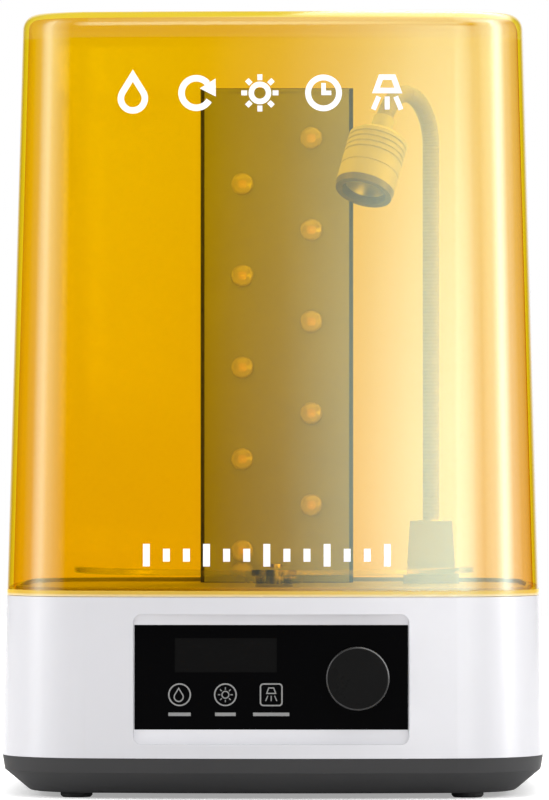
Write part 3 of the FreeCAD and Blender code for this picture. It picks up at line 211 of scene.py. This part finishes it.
# The cover's tint, as what one face of the plastic passes: high up, low down and seen edge on.
AMBER_HIGH = (0.957, 0.825, 0.1)
AMBER_LOW = (0.955, 0.78, 0.1)
AMBER_EDGE = (0.8, 0.54, 0.03)
EDGE_FACING = (0.94, 1.0)           # how slanted a face is where the edge tint sets in
OUTER_GLOSS = 0.06                  # share of light reflected square on, outside and inside
INNER_GLOSS = 0.01
GLOSS_ROUGH = (0.05, 0.08)
# The tint of reflections, from square on to edge on.
SHEEN_TINT = [(0.0, (0.64, 0.92, 0.89)), (0.25, (0.7, 0.97, 1)), (0.7, (1, 1, 1))]
RIM_COLOUR = (0.76, 0.56, 0.1)      # light gathers in the cover's lowest edge
RIM_EDGE = (1.0, 0.95, 0.75)
RIM_HEIGHT = 2.6 * MM
RIM_BLEND = 0.2 * MM
RIM_SHARE = 0.55
TOP_BAND = 12.5 * MM                # and the band by its top gets a faint whitish painted sheen, standing in for light from above reflected by its top round
TOP_BLEND = 0.5 * MM
TOP_PAINTED_SHEEN = 0.02
PAINTED_SHEEN_COLOUR = (0.9, 0.9, 0.85)


def amber_shell():
    """The cover's tinted plastic. Its walls are thicker lower down, so the tint deepens there."""
    made = Material("amber_cover_plastic")
    facing = made.facing()
    low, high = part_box("uv_cover")
    foot, top = low[2], high[2]
    level = made.add("SeparateXYZ", {0: made.place}).outputs["Z"]
    body = made.add("MixRGB", {"Fac": made.span(level, foot, top), 1: AMBER_LOW, 2: AMBER_HIGH})
    tint = made.add("MixRGB", {"Fac": made.span(facing, *EDGE_FACING), 1: body.outputs[0],
                               2: AMBER_EDGE})
    through = made.add("BsdfTransparent", {"Color": tint.outputs[0]})
    gloss = made.add("BsdfGlossy", {"Color": made.ramp(facing, SHEEN_TINT)})
    rough = made.span(made.noise(30, 5, 0.6), *NOISE_SPREAD, *GLOSS_ROUGH)
    made.feed(gloss.inputs["Roughness"], rough)
    surface = made.add("NewGeometry").outputs
    outwards = made.add("VectorMath", {0: surface["Normal"], 1: made.place},
                        operation="DOT_PRODUCT")
    outside = made.math("MULTIPLY", made.math("GREATER_THAN", outwards.outputs["Value"], 0.0),
                        made.math("SUBTRACT", 1.0, surface["Backfacing"]))
    outer_share = made.math("MULTIPLY", made.schlick(OUTER_GLOSS), outside)
    share = made.math("MAXIMUM", outer_share, INNER_GLOSS)
    wall = made.add("MixShader", {0: share, 1: through.outputs["BSDF"], 2: gloss.outputs["BSDF"]})
    lowest = made.span(level, foot, foot + RIM_HEIGHT / 2)
    rim_tint = made.add("MixRGB", {"Fac": lowest, 1: RIM_EDGE, 2: RIM_COLOUR})
    rim = made.add("BsdfDiffuse", {"Color": rim_tint.outputs[0]})
    rim_top = foot + RIM_HEIGHT
    in_rim = made.span(level, rim_top, rim_top + RIM_BLEND, RIM_SHARE, 0.0)
    wall = made.add("MixShader", {0: in_rim, 1: wall.outputs[0], 2: rim.outputs["BSDF"]})
    # Painted sheen: a faint whitish diffuse layer on the outside of the top band, standing in for light from above
    # reflected there.
    diffuse_part = made.add("BsdfDiffuse", {"Color": PAINTED_SHEEN_COLOUR})
    band_foot = top - TOP_BAND
    in_band = made.span(level, band_foot, band_foot + TOP_BLEND, 0.0, TOP_PAINTED_SHEEN)
    in_band = made.math("MULTIPLY", in_band, outside)
    return made.surface(made.add("MixShader", {0: in_band, 1: wall.outputs[0],
                                               2: diffuse_part.outputs["BSDF"]}))


WHITE = moulded("white_gloss_plastic", (0.59, 0.59, 0.62), (0.2, 0.26), grain=700,
                depth=0.008 * MM, vary=0.01, specular=0.42)
DECK = moulded("deck_plastic", (0.36, 0.36, 0.36), (0.4, 0.5))
TRAY = moulded("tray_plastic", (0.046, 0.046, 0.047), (0.5, 0.6), grain=600, depth=0.03 * MM,
               specular=0.12)
PANEL = moulded("panel_acrylic", (0.0006, 0.0006, 0.0008), (0.05, 0.08), grain=300,
                depth=0.002 * MM, specular=0.02)
WINDOW = moulded("window_acrylic", (0.0045, 0.0045, 0.0045), (0.1, 0.16), grain=300,
                 depth=0.002 * MM, specular=0.02)
KNOB = moulded("knob_plastic", (0.003, 0.003, 0.003), (0.25, 0.34), grain=500,
               depth=0.01 * MM, specular=0.06)
# The knob's rounded edge: partly a real glossier finish, partly a painted highlight, since its colour is lighter
# than the knob's.
KNOB_BEVEL_PAINTED_HIGHLIGHT = moulded("knob_bevel_gloss_and_painted_highlight", (0.02, 0.02, 0.02), (0.22, 0.3), grain=500,
                     depth=0.004 * MM, vary=0.05, specular=0.38)
BLACK = moulded("black_plastic", (0.02, 0.02, 0.021), (0.4, 0.5))
SOCKET = moulded("socket_plastic", (0.05, 0.05, 0.052), (0.4, 0.5))
SOCKET_GREY = moulded("grey_socket_plastic", (0.38, 0.38, 0.37), (0.4, 0.5))
RUBBER = moulded("foot_rubber", (0.008, 0.008, 0.008), (0.75, 0.9), grain=500, depth=0.05 * MM)
BOARD = moulded("board_mask", (0.015, 0.09, 0.04), (0.25, 0.4))
BOARD_WHITE = moulded("white_board_mask", (0.55, 0.55, 0.53), (0.25, 0.4))
TOWER_SIDE = moulded("tower_black_paint", (0.02, 0.02, 0.02), (0.35, 0.45))
TOWER_FACE = moulded("tower_grey_paint", (0.37, 0.42, 0.35), (0.4, 0.5))
LAMP_SATIN = moulded("satin_lamp_finish", (0.55, 0.58, 0.5), (0.45, 0.55), grain=1500,
                     depth=0.006 * MM, vary=0.03)
NECK_SLEEVE = moulded("neck_sleeve", (0.37, 0.37, 0.36), (0.5, 0.6), grain=1200,
                      depth=0.01 * MM, vary=0.05)
BEZEL = moulded("bezel_plastic", (0.16, 0.16, 0.17), (0.3, 0.4))
# Painted glow: the phosphor glows in its own colour, standing in for the light that reaches it inside the dome.
LED_PAINTED_GLOW = moulded("led_phosphor_painted_glow", (0.95, 0.42, 0.08), (0.3, 0.4), painted_glow=0.5)
PRINT = moulded("white_screen_print", (0.93, 0.93, 0.92), (0.45, 0.55), grain=2200,
                depth=0.01 * MM, vary=0.02)
PANEL_PRINT = moulded("grey_screen_print", (0.21, 0.21, 0.21), (0.45, 0.55), grain=2200,
                      depth=0.01 * MM, vary=0.02)
STEEL = metal("zinc_steel", (0.55, 0.55, 0.56))
DARK_STEEL = metal("pin_steel", (0.25, 0.25, 0.26))
ALUMINIUM = metal("anodised_aluminium", (0.6, 0.6, 0.6), (0.3, 0.4))
NICKEL = metal("nickel_plate", (0.7, 0.69, 0.66), (0.1, 0.2))
MIRROR = metal("reflector_mirror", (0.8, 0.8, 0.8), (0.35, 0.45))
CLEAR = thin_clear("clear_acrylic", (0.88, 0.9, 0.9), 0.04)
DOME = thin_clear("led_dome_silicone", (0.96, 0.98, 0.76), 0.05, diffuse_part=0.42)
LENS = clear("lens_acrylic", (0.97, 0.98, 0.99), 0.015)
AMBER = amber_shell()

BY_SLOT = {
    "white_plastic": WHITE, "tray_grey": TRAY, "deck_white": DECK, "panel_black": PANEL,
    "window_smoke": WINDOW, "knob_black": KNOB, "foot_rubber": RUBBER, "amber_cover": AMBER,
    "clear_acrylic": CLEAR, "lens_clear": LENS, "screw_steel": STEEL, "pin_steel": DARK_STEEL,
    "motor_steel": STEEL, "lamp_aluminium": LAMP_SATIN, "neck_metal": NECK_SLEEVE,
    "sink_aluminium": ALUMINIUM, "tower_black": TOWER_SIDE, "tower_grey": TOWER_FACE,
    "socket_grey": SOCKET_GREY, "socket_black": SOCKET, "board_green": BOARD,
    "board_white": BOARD_WHITE, "chip_black": BLACK, "led_yellow": LED_PAINTED_GLOW, "dome_clear": DOME,
    "magnet_nickel": NICKEL, "bezel_black": BEZEL, "reflector_chrome": MIRROR,
}


def dress_nodes():
    """Each CAD piece gets the material of its slot."""
    slots = {s["node"]: s["material_slot"] for s in frame["record"]["subparts"]}
    for name, item in nodes.items():
        item.data.materials.clear()
        item.data.materials.append(BY_SLOT[slots[name]])


# Mesh helpers.

def make_piece(name, mesh_data, material, body, smooth=False):
    """An object from a bmesh, riding a body and finished in the given material."""
    mesh = bpy.data.meshes.new(name)
    bmesh.ops.recalc_face_normals(mesh_data, faces=mesh_data.faces)
    mesh_data.to_mesh(mesh)
    mesh_data.free()
    mesh.materials.append(material)
    for face in mesh.polygons:
        face.use_smooth = smooth
    item = bpy.data.objects.new(name, mesh)
    scene.collection.objects.link(item)
    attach(item, body)
    return item


# Printed graphics: flat shapes in (across, up) millimetres, laid on a surface as a thin skin.

RING_STEPS = 48
CORNER_STEPS = 6
SHARPEST_MITRE = 0.35           # keeps a sharp corner from running out into a long spike
SUN_RAYS = 8
ARROW_SPREAD = 0.6              # half the arrow head's width, as a share of its length
# A drop's tip, the middle of its round end and the degrees that the end spans, in radii.
DROP_TIP, DROP_MIDDLE = 1.75, -0.15
DROP_START, DROP_END, DROP_STEPS = -215, 35, 30
WELD = 0.02 * MM
PRINT_SINK = 0.01 * MM          # prints start just inside the surface under them


def arc_points(centre, radius, start, end, count=24):
    """Points on an arc; degrees count anticlockwise from the right."""
    return [(centre[0] + radius * math.cos(math.radians(start + (end - start) * i / count)),
             centre[1] + radius * math.sin(math.radians(start + (end - start) * i / count)))
            for i in range(count + 1)]


def ribbon(points, width, closed=False):
    """Quads along a line of points, with mitred corners."""
    spots = [Vector(p) for p in points]
    count = len(spots)
    sides = []
    for i, spot in enumerate(spots):
        before = spots[i - 1] if closed or i else None
        after = spots[(i + 1) % count] if closed or i < count - 1 else None
        ways = [w.normalized() for w in ((spot - before) if before else None,
                                         (after - spot) if after else None) if w]
        way = sum(ways, Vector((0, 0))).normalized()
        normal = Vector((-way.y, way.x))
        stretch = 1 / max(SHARPEST_MITRE, normal.dot(Vector((-ways[0].y, ways[0].x))))
        sides.append((spot + normal * width / 2 * stretch, spot - normal * width / 2 * stretch))
    last = count if closed else count - 1
    return [[sides[i][0], sides[i][1], sides[(i + 1) % count][1], sides[(i + 1) % count][0]]
            for i in range(last)]


def ring(centre, radius, width):
    return ribbon(arc_points(centre, radius, 0, 360, RING_STEPS)[:-1], width, True)


def bar(low, high):
    """An upright rectangle between two corners."""
    return [[Vector(low), Vector((high[0], low[1])), Vector(high), Vector((low[0], high[1]))]]


def droplet(centre, radius, width):
    """The outline of a drop, point up."""
    x, y = centre
    tip = (x, y + DROP_TIP * radius)
    side = arc_points((x, y + DROP_MIDDLE * radius), radius, DROP_START, DROP_END, DROP_STEPS)
    return ribbon([tip] + side[::-1], width, True)


def sun(centre, radius, width):
    """A ring with rays around it."""
    shapes = ring(centre, radius * 0.5, width)
    for i in range(SUN_RAYS):
        turn = 2 * math.pi * i / SUN_RAYS
        way = Vector((math.cos(turn), math.sin(turn)))
        start, end = Vector(centre) + way * radius * 0.74, Vector(centre) + way * radius * 1.08
        shapes += ribbon([start, end], width * 0.9)
    return shapes


def rounded_square(centre, half, corner, width):
    points = []
    for turn, (i, j) in enumerate(((1, 1), (-1, 1), (-1, -1), (1, -1))):
        middle = (centre[0] + i * (half - corner), centre[1] + j * (half - corner))
        points += arc_points(middle, corner, 90 * turn, 90 * turn + 90, CORNER_STEPS)
    return ribbon(points, width, True)


def lamp_sign(centre, size, width):
    """A small work lamp that points down, with three rays under it, in shares of its size."""
    x, y = centre
    head = [(x - 0.5 * size, y + 0.15 * size), (x - 0.28 * size, y + 0.75 * size),
            (x + 0.28 * size, y + 0.75 * size), (x + 0.5 * size, y + 0.15 * size)]
    shapes = ribbon(head, width, True)
    for side in (-1, 0, 1):
        shapes += ribbon([(x + side * 0.38 * size, y - 0.12 * size),
                          (x + side * 0.62 * size, y - 0.7 * size)], width * 0.9)
    return shapes


def skin(name, shapes, lay, thickness, material, body):
    """A thin closed layer of flat shapes. lay(across, up, out) gives a point off the surface."""
    made = bmesh.new()
    for shape in shapes:
        lower = [made.verts.new(lay(p[0], p[1], 0.0)) for p in shape]
        upper = [made.verts.new(lay(p[0], p[1], thickness)) for p in shape]
        made.faces.new(upper)
        made.faces.new(lower[::-1])
        for i in range(len(shape)):
            j = (i + 1) % len(shape)
            made.faces.new((lower[i], lower[j], upper[j], upper[i]))
    bmesh.ops.remove_doubles(made, verts=made.verts, dist=WELD)
    return make_piece(name, made, material, body)


SIGN_R = 5.0                    # the panel's signs, in millimetres
SIGN_STROKE = 0.65
SIGN_CORNER = 1.4
SIGN_BARS = (5.2, 4.8, 8.4)     # half widths of the bars under the signs
SIGN_BAR_LEVELS = (-9.9, -8.3)
LIGHT_WIDTH = 3 * MM
PANEL_PRINT_T = 0.08 * MM


def panel_graphics():
    """Mode signs over the three indicator lights, each with a plain bar where its word would be."""
    low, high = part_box("control_panel")
    face = low[1]
    middle = (low[0] + high[0]) / 2
    lights_low, lights_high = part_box("mode_leds")
    pitch = (lights_high[0] - lights_low[0] - LIGHT_WIDTH) / 2
    level = (lights_low[2] + lights_high[2]) / 2
    first = lights_low[0] + LIGHT_WIDTH / 2 - middle
    centres = [(first + i * pitch) / MM for i in range(3)]
    drop_x, sun_x, lamp_x = centres

    def lay(across, up, out):
        return Vector((middle + across * MM, face - out + PRINT_SINK, level + up * MM))

    shapes = ring((drop_x, 0), SIGN_R, SIGN_STROKE)
    shapes += droplet((drop_x - 0.4, -0.7), 2.1, SIGN_STROKE * 0.85)
    shapes += ring((sun_x, 0), SIGN_R, SIGN_STROKE)
    shapes += sun((sun_x, 0), 3.2, SIGN_STROKE * 0.8)
    shapes += rounded_square((lamp_x, 0), SIGN_R, SIGN_CORNER, SIGN_STROKE)
    shapes += lamp_sign((lamp_x, 0), 4.2, SIGN_STROKE * 0.8)
    for centre, half in zip(centres, SIGN_BARS):
        shapes += bar((centre - half, SIGN_BAR_LEVELS[0]), (centre + half, SIGN_BAR_LEVELS[1]))
    skin("panel_graphics", shapes, lay, PANEL_PRINT_T, PANEL_PRINT, "base")


# The cover's signs and level marks, in millimetres.
COVER_STROKE = 3.0
COVER_ROW = 328.5
COVER_FIRST_SIGN = -64.5
COVER_SIGN_PITCH = 29.6
TURN_R = 6.9
TURN_START, TURN_END = 40, 330      # degrees that the turning arrow's arc spans
TURN_ARROW = -58, 7.2               # its head's direction, in degrees, and length
CLOCK_R = 7.2
MARKS_LEVEL = 113.6
MARKS_START, MARKS_WIDTH = -58, 112
MARKS = 13
MARKS_PER_TALL = 3
TALL_MARK, SHORT_MARK, MARK_HALF = 10.5, 6.0, 1.6
COVER_PRINT_T = 0.1 * MM


def cover_graphics():
    """White process signs across the top of the cover and a row of level marks near its foot."""
    cover = nodes["uv_cover"]
    tree = BVHTree.FromObject(cover, bpy.context.evaluated_depsgraph_get())
    low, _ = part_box("uv_cover")
    clear_of_cover = low[1] - 50 * MM

    def lay(across, up, out):
        start = Vector((across * MM, clear_of_cover, up * MM))
        hit, _, _, _ = tree.ray_cast(start, -FRONT)
        return hit + FRONT * (out - PRINT_SINK)

    row = COVER_ROW
    drop_x, turn_x, sun_x, clock_x, lamp_x = (COVER_FIRST_SIGN + i * COVER_SIGN_PITCH
                                              for i in range(5))
    turn = arc_points((turn_x, row), TURN_R, TURN_START, TURN_END)
    shapes = droplet((drop_x, row - 1.6), 5.6, COVER_STROKE)
    shapes += ribbon(turn, COVER_STROKE)
    shapes += arrow_head(turn[0], *TURN_ARROW)
    shapes += sun((sun_x, row), 8.0, COVER_STROKE * 0.85)
    shapes += ring((clock_x, row), CLOCK_R, COVER_STROKE * 0.9)
    shapes += ribbon([(clock_x, row + 4.6), (clock_x, row), (clock_x + 3.6, row)],
                     COVER_STROKE * 0.7)
    shapes += lamp_sign((lamp_x, row - 0.4), 10.4, COVER_STROKE * 0.85)
    skin("cover_graphics", shapes, lay, COVER_PRINT_T, PRINT, "cover")
    marks = []
    for i in range(MARKS):
        half_height = (SHORT_MARK if i % MARKS_PER_TALL else TALL_MARK) / 2
        x = MARKS_START + i * MARKS_WIDTH / (MARKS - 1)
        marks += bar((x - MARK_HALF, MARKS_LEVEL - half_height),
                     (x + MARK_HALF, MARKS_LEVEL + half_height))
    skin("cover_level_marks", marks, lay, COVER_PRINT_T, PRINT, "cover")


def arrow_head(tip_base, direction, length):
    """A triangle that points along a direction, in degrees."""
    way = Vector((math.cos(math.radians(direction)), math.sin(math.radians(direction))))
    side = Vector((-way.y, way.x)) * length * ARROW_SPREAD
    base = Vector(tip_base)
    return [[base + side, base - side, base + way * length]]


TOWER_EDGE_INSET = 0.3          # millimetres
PAINT_T = 0.1 * MM


def tower_edges():
    """The painted front edges of the tower's top wall and foot, over and under its front panel."""
    plate_low, plate_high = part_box("tower_front_panel")
    shell_low, shell_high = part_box("tower_housing")
    left, right = plate_low[0] / MM, plate_high[0] / MM

    def lay(across, up, out):
        return Vector((across * MM, shell_low[1] - out + PRINT_SINK, up * MM))

    top = bar((left, plate_high[2] / MM), (right, shell_high[2] / MM - TOWER_EDGE_INSET))
    foot = bar((left, shell_low[2] / MM + TOWER_EDGE_INSET), (right, plate_low[2] / MM))
    skin("tower_edges", top + foot, lay, PAINT_T, TOWER_FACE, "base")


BEVEL_ROUND = 1.1 * MM          # the knob's own edge radius
BEVEL_PROUD = 0.04 * MM
BEVEL_SIDES = 120
BEVEL_STEPS = 6
BEVEL_FROM, BEVEL_TURN = 18, 54     # degrees of the round that carry the glossier ring with its painted highlight


def knob_bevel():
    """The round between the knob's face and its side: a thin ring, glossier than the knob and lighter in colour as
    a painted highlight.
    """
    low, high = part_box("control_knob")
    centre_x, centre_z = (low[0] + high[0]) / 2, (low[2] + high[2]) / 2
    ring_r, ring_y = (high[0] - low[0]) / 2 - BEVEL_ROUND, low[1] + BEVEL_ROUND
    made = bmesh.new()
    profile = [(BEVEL_ROUND + BEVEL_PROUD, math.radians(BEVEL_FROM + BEVEL_TURN * i / BEVEL_STEPS))
               for i in range(BEVEL_STEPS + 1)]
    profile += [(BEVEL_ROUND - BEVEL_PROUD, angle) for _, angle in reversed(profile)]
    rings = []
    for k in range(BEVEL_SIDES):
        turn = 2 * math.pi * k / BEVEL_SIDES
        rings.append([made.verts.new((centre_x + math.cos(turn) * (ring_r + r * math.cos(a)),
                                      ring_y - r * math.sin(a),
                                      centre_z + math.sin(turn) * (ring_r + r * math.cos(a))))
                      for r, a in profile])
    for k, first in enumerate(rings):
        second = rings[(k + 1) % BEVEL_SIDES]
        for i in range(len(profile)):
            j = (i + 1) % len(profile)
            made.faces.new((first[i], first[j], second[j], second[i]))
    make_piece("knob_bevel", made, KNOB_BEVEL_PAINTED_HIGHLIGHT, "knob", True)


# Gooseneck: tube wound from strip, with a rib every turn.

RIB_PITCH = 1.7 * MM
RIB_DEPTH = 0.16 * MM
RIB_STEPS = 4
TUBE_SIDES = 28


def ribbed_tube(path_point, length, radius):
    """path_point(distance) gives a centre and a direction along the tube."""
    made = bmesh.new()
    count = round(length / RIB_PITCH) * RIB_STEPS
    rings = []
    across = None
    for step in range(count + 1):
        centre, way = path_point(length * step / count)
        phase = 2 * math.pi * step / RIB_STEPS
        r = radius - RIB_DEPTH * (0.5 + 0.5 * math.cos(phase))
        if across is None:
            across = way.orthogonal().normalized()
        across = (across - way * across.dot(way)).normalized()
        other = way.cross(across)
        rings.append([made.verts.new(centre + (across * math.cos(a) + other * math.sin(a)) * r)
                      for a in (2 * math.pi * k / TUBE_SIDES for k in range(TUBE_SIDES))])
    for first, second in zip(rings, rings[1:]):
        for k in range(TUBE_SIDES):
            j = (k + 1) % TUBE_SIDES
            made.faces.new((first[k], first[j], second[j], second[k]))
    for ring_verts in (rings[0], rings[-1]):
        made.faces.new(ring_verts)
    return made


def gooseneck():
    """The stem and the five bent stretches, along the line through the bend joints."""
    pivots = [Vector(joints[f"neck_bend_{n}"]["pos_m"]) for n in range(1, 6)]
    low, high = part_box("neck_stem")
    radius = (high[0] - low[0]) / 2
    foot = Vector((pivots[0].x, pivots[0].y, low[2]))
    stem = ribbed_tube(lambda s: (foot + UP * s, UP), pivots[0].z - foot.z, radius)
    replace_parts(make_piece("gooseneck_stem", stem, NECK_SLEEVE, "neck_stem", True),
                "neck_stem")
    chord = pivots[1] - pivots[0]
    half_turn = UP.angle(chord)
    bend_r = chord.length / (2 * math.sin(half_turn))
    heading = Vector((chord.x, chord.y, 0)).normalized()
    centre = pivots[0] + heading * bend_r

    def on_bend(angle):
        point = centre - heading * bend_r * math.cos(angle) + UP * bend_r * math.sin(angle)
        return point, (heading * math.sin(angle) + UP * math.cos(angle)).normalized()

    for number, body in enumerate(("neck_1", "neck_2", "neck_3", "neck_4", "lamp")):
        start = 2 * half_turn * number
        tube = ribbed_tube(lambda s, start=start: on_bend(start + s / bend_r),
                           2 * half_turn * bend_r, radius)
        piece = make_piece(f"gooseneck_bend_{number + 1}", tube, NECK_SLEEVE, body, True)
        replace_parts(piece, f"neck_link_{number + 1}")


dress_nodes()
panel_graphics()
cover_graphics()
tower_edges()
knob_bevel()
gooseneck()


# Studio: floor, sky and camera.

FLOOR_REACH = 3
FLOOR_COLOUR = (0.8, 0.8, 0.8)
FLOOR_LIFT = 0.35       # what the floor adds where it is seen directly, so that it fades to white


def plain_floor():
    mesh = bpy.data.meshes.new("studio_floor")
    corners = [(i * FLOOR_REACH, j * FLOOR_REACH, 0) for i, j in ((-1, -1), (1, -1), (1, 1), (-1, 1))]
    mesh.from_pydata(corners, [], [(0, 1, 2, 3)])
    floor = bpy.data.objects.new("studio_floor", mesh)
    scene.collection.objects.link(floor)
    paper = Material("studio_floor_paper", Base_Color=FLOOR_COLOUR, Roughness=0.9,
                     Emission_Color=(1, 1, 1))
    seen = paper.math("MULTIPLY", paper.add("LightPath").outputs["Is Camera Ray"], FLOOR_LIFT)
    paper.feed(paper.shader.inputs["Emission Strength"], seen)
    mesh.materials.append(paper.material)


# The studio's lamps as (degrees to the right of the front, brightness), read around the horizon.
SIDE_STRIPS = [
    (-180, 1), (-168, 1), (-152, 0),                                            # backdrop
    (-112, 0), (-97, 0.6), (-87, 4), (-79, 5.5), (-71, 3), (-60, 1.6), (-43, 0),
    (40, 0), (53, 3.9), (68, 5.5), (75, 9), (81, 13), (87, 11), (97, 4), (115, 1.1), (138, 0),
    (152, 0), (168, 1), (180, 1),
]
LOW_CARD = [(-6, 0), (0, 1), (6, 4), (13, 10.3), (21, 11.4), (29, 9.5), (37, 7.3), (45, 3.2), (51, 0)]
FRONT_CARD = [(-40, 0), (-20, 4), (20, 4), (40, 0)]
SIDE_FILLS = [(-150, 0), (-125, 2.4), (-95, 2.4), (-75, 0), (75, 0), (95, 2), (125, 2), (150, 0)]
BRIGHTEST = 14.0
# Heights, as a direction's upward share, between which each of them fades.
STRIPS_FADE = (0.45, 0.8)
LOW_CARD_FADE = (0.04, 0.17)
FRONT_CARD_STARTS = (0.22, 0.3)
FRONT_CARD_FADE = (0.5, 0.58)
FILLS_FADE = (0.5, 0.9)
OVERHEAD_STARTS = (0.35, 0.7)
OVERHEAD_SIDES = (0.42, 0.63, 0.2, 6.0)     # share of the horizon, and brightness, left and right
SOFT_LIGHT = (0.0, 0.9, 1.0, 1.4)           # height, and brightness, low and high


def around(tree, azimuth, lamps):
    """Brightness around the horizon, blended between the stops of a list."""
    stops = [((degrees + 180) / 360, (level / BRIGHTEST,) * 3) for degrees, level in lamps]
    return tree.math("MULTIPLY", tree.ramp(azimuth, stops), BRIGHTEST)


def sky():
    """A studio all round. Reflections see lamps and cards, and the camera sees plain white.
    Everything else gets their even, diffused light."""
    world = bpy.data.worlds.new("studio")
    world.use_nodes = True
    tree = Nodes(world.node_tree)
    tree.nodes.clear()
    way = tree.add("SeparateXYZ", {0: tree.add("TexCoord").outputs["Generated"]}).outputs
    azimuth = tree.math("ARCTAN2", way["X"], tree.math("MULTIPLY", way["Y"], -1.0))
    azimuth = tree.math("MULTIPLY_ADD", azimuth, 0.5 / math.pi, 0.5)
    height = way["Z"]

    def faded(lamps, fade):
        return tree.math("MULTIPLY", around(tree, azimuth, lamps), tree.span(height, *fade, 1, 0, True))

    overhead = tree.math("MULTIPLY", tree.span(height, *OVERHEAD_STARTS, 0.0, 1.0, True),
                         tree.span(azimuth, *OVERHEAD_SIDES))
    front = tree.math("MULTIPLY", faded(FRONT_CARD, FRONT_CARD_FADE),
                      tree.span(height, *FRONT_CARD_STARTS, 0, 1, True))
    side_and_low = tree.math("ADD", faded(SIDE_STRIPS, STRIPS_FADE), faded(LOW_CARD, LOW_CARD_FADE))
    lamps = tree.math("ADD", side_and_low, tree.math("ADD", overhead, front))
    soft = tree.math("ADD", faded(SIDE_FILLS, FILLS_FADE), tree.span(height, *SOFT_LIGHT))
    path = tree.add("LightPath").outputs
    level = tree.add("Mix", {0: path["Is Glossy Ray"], 2: soft, 3: lamps}).outputs[0]
    level = tree.add("Mix", {0: path["Is Camera Ray"], 2: level, 3: 1.0}).outputs[0]
    light = tree.add("Background", {"Color": (1, 1, 1), "Strength": level})
    tree.add("OutputWorld", {"Surface": light.outputs[0]})
    scene.world = world


def front_camera():
    """Level, far back and a little to the right, with the object's middle in the middle."""
    distance, offset, height = 3.617, 0.05, 0.1801
    data = bpy.data.cameras.new("camera")
    data.sensor_width = 36
    data.lens = 339.57          # millimetres: a long lens, so that the sides look nearly parallel
    data.shift_y = 0.015
    data.clip_end = 50
    item = bpy.data.objects.new("camera", data)
    item.location = (offset, -distance, height)
    item.rotation_euler = (math.pi / 2, 0, math.atan(offset / distance))
    scene.collection.objects.link(item)
    scene.camera = item


plain_floor()
sky()
front_camera()
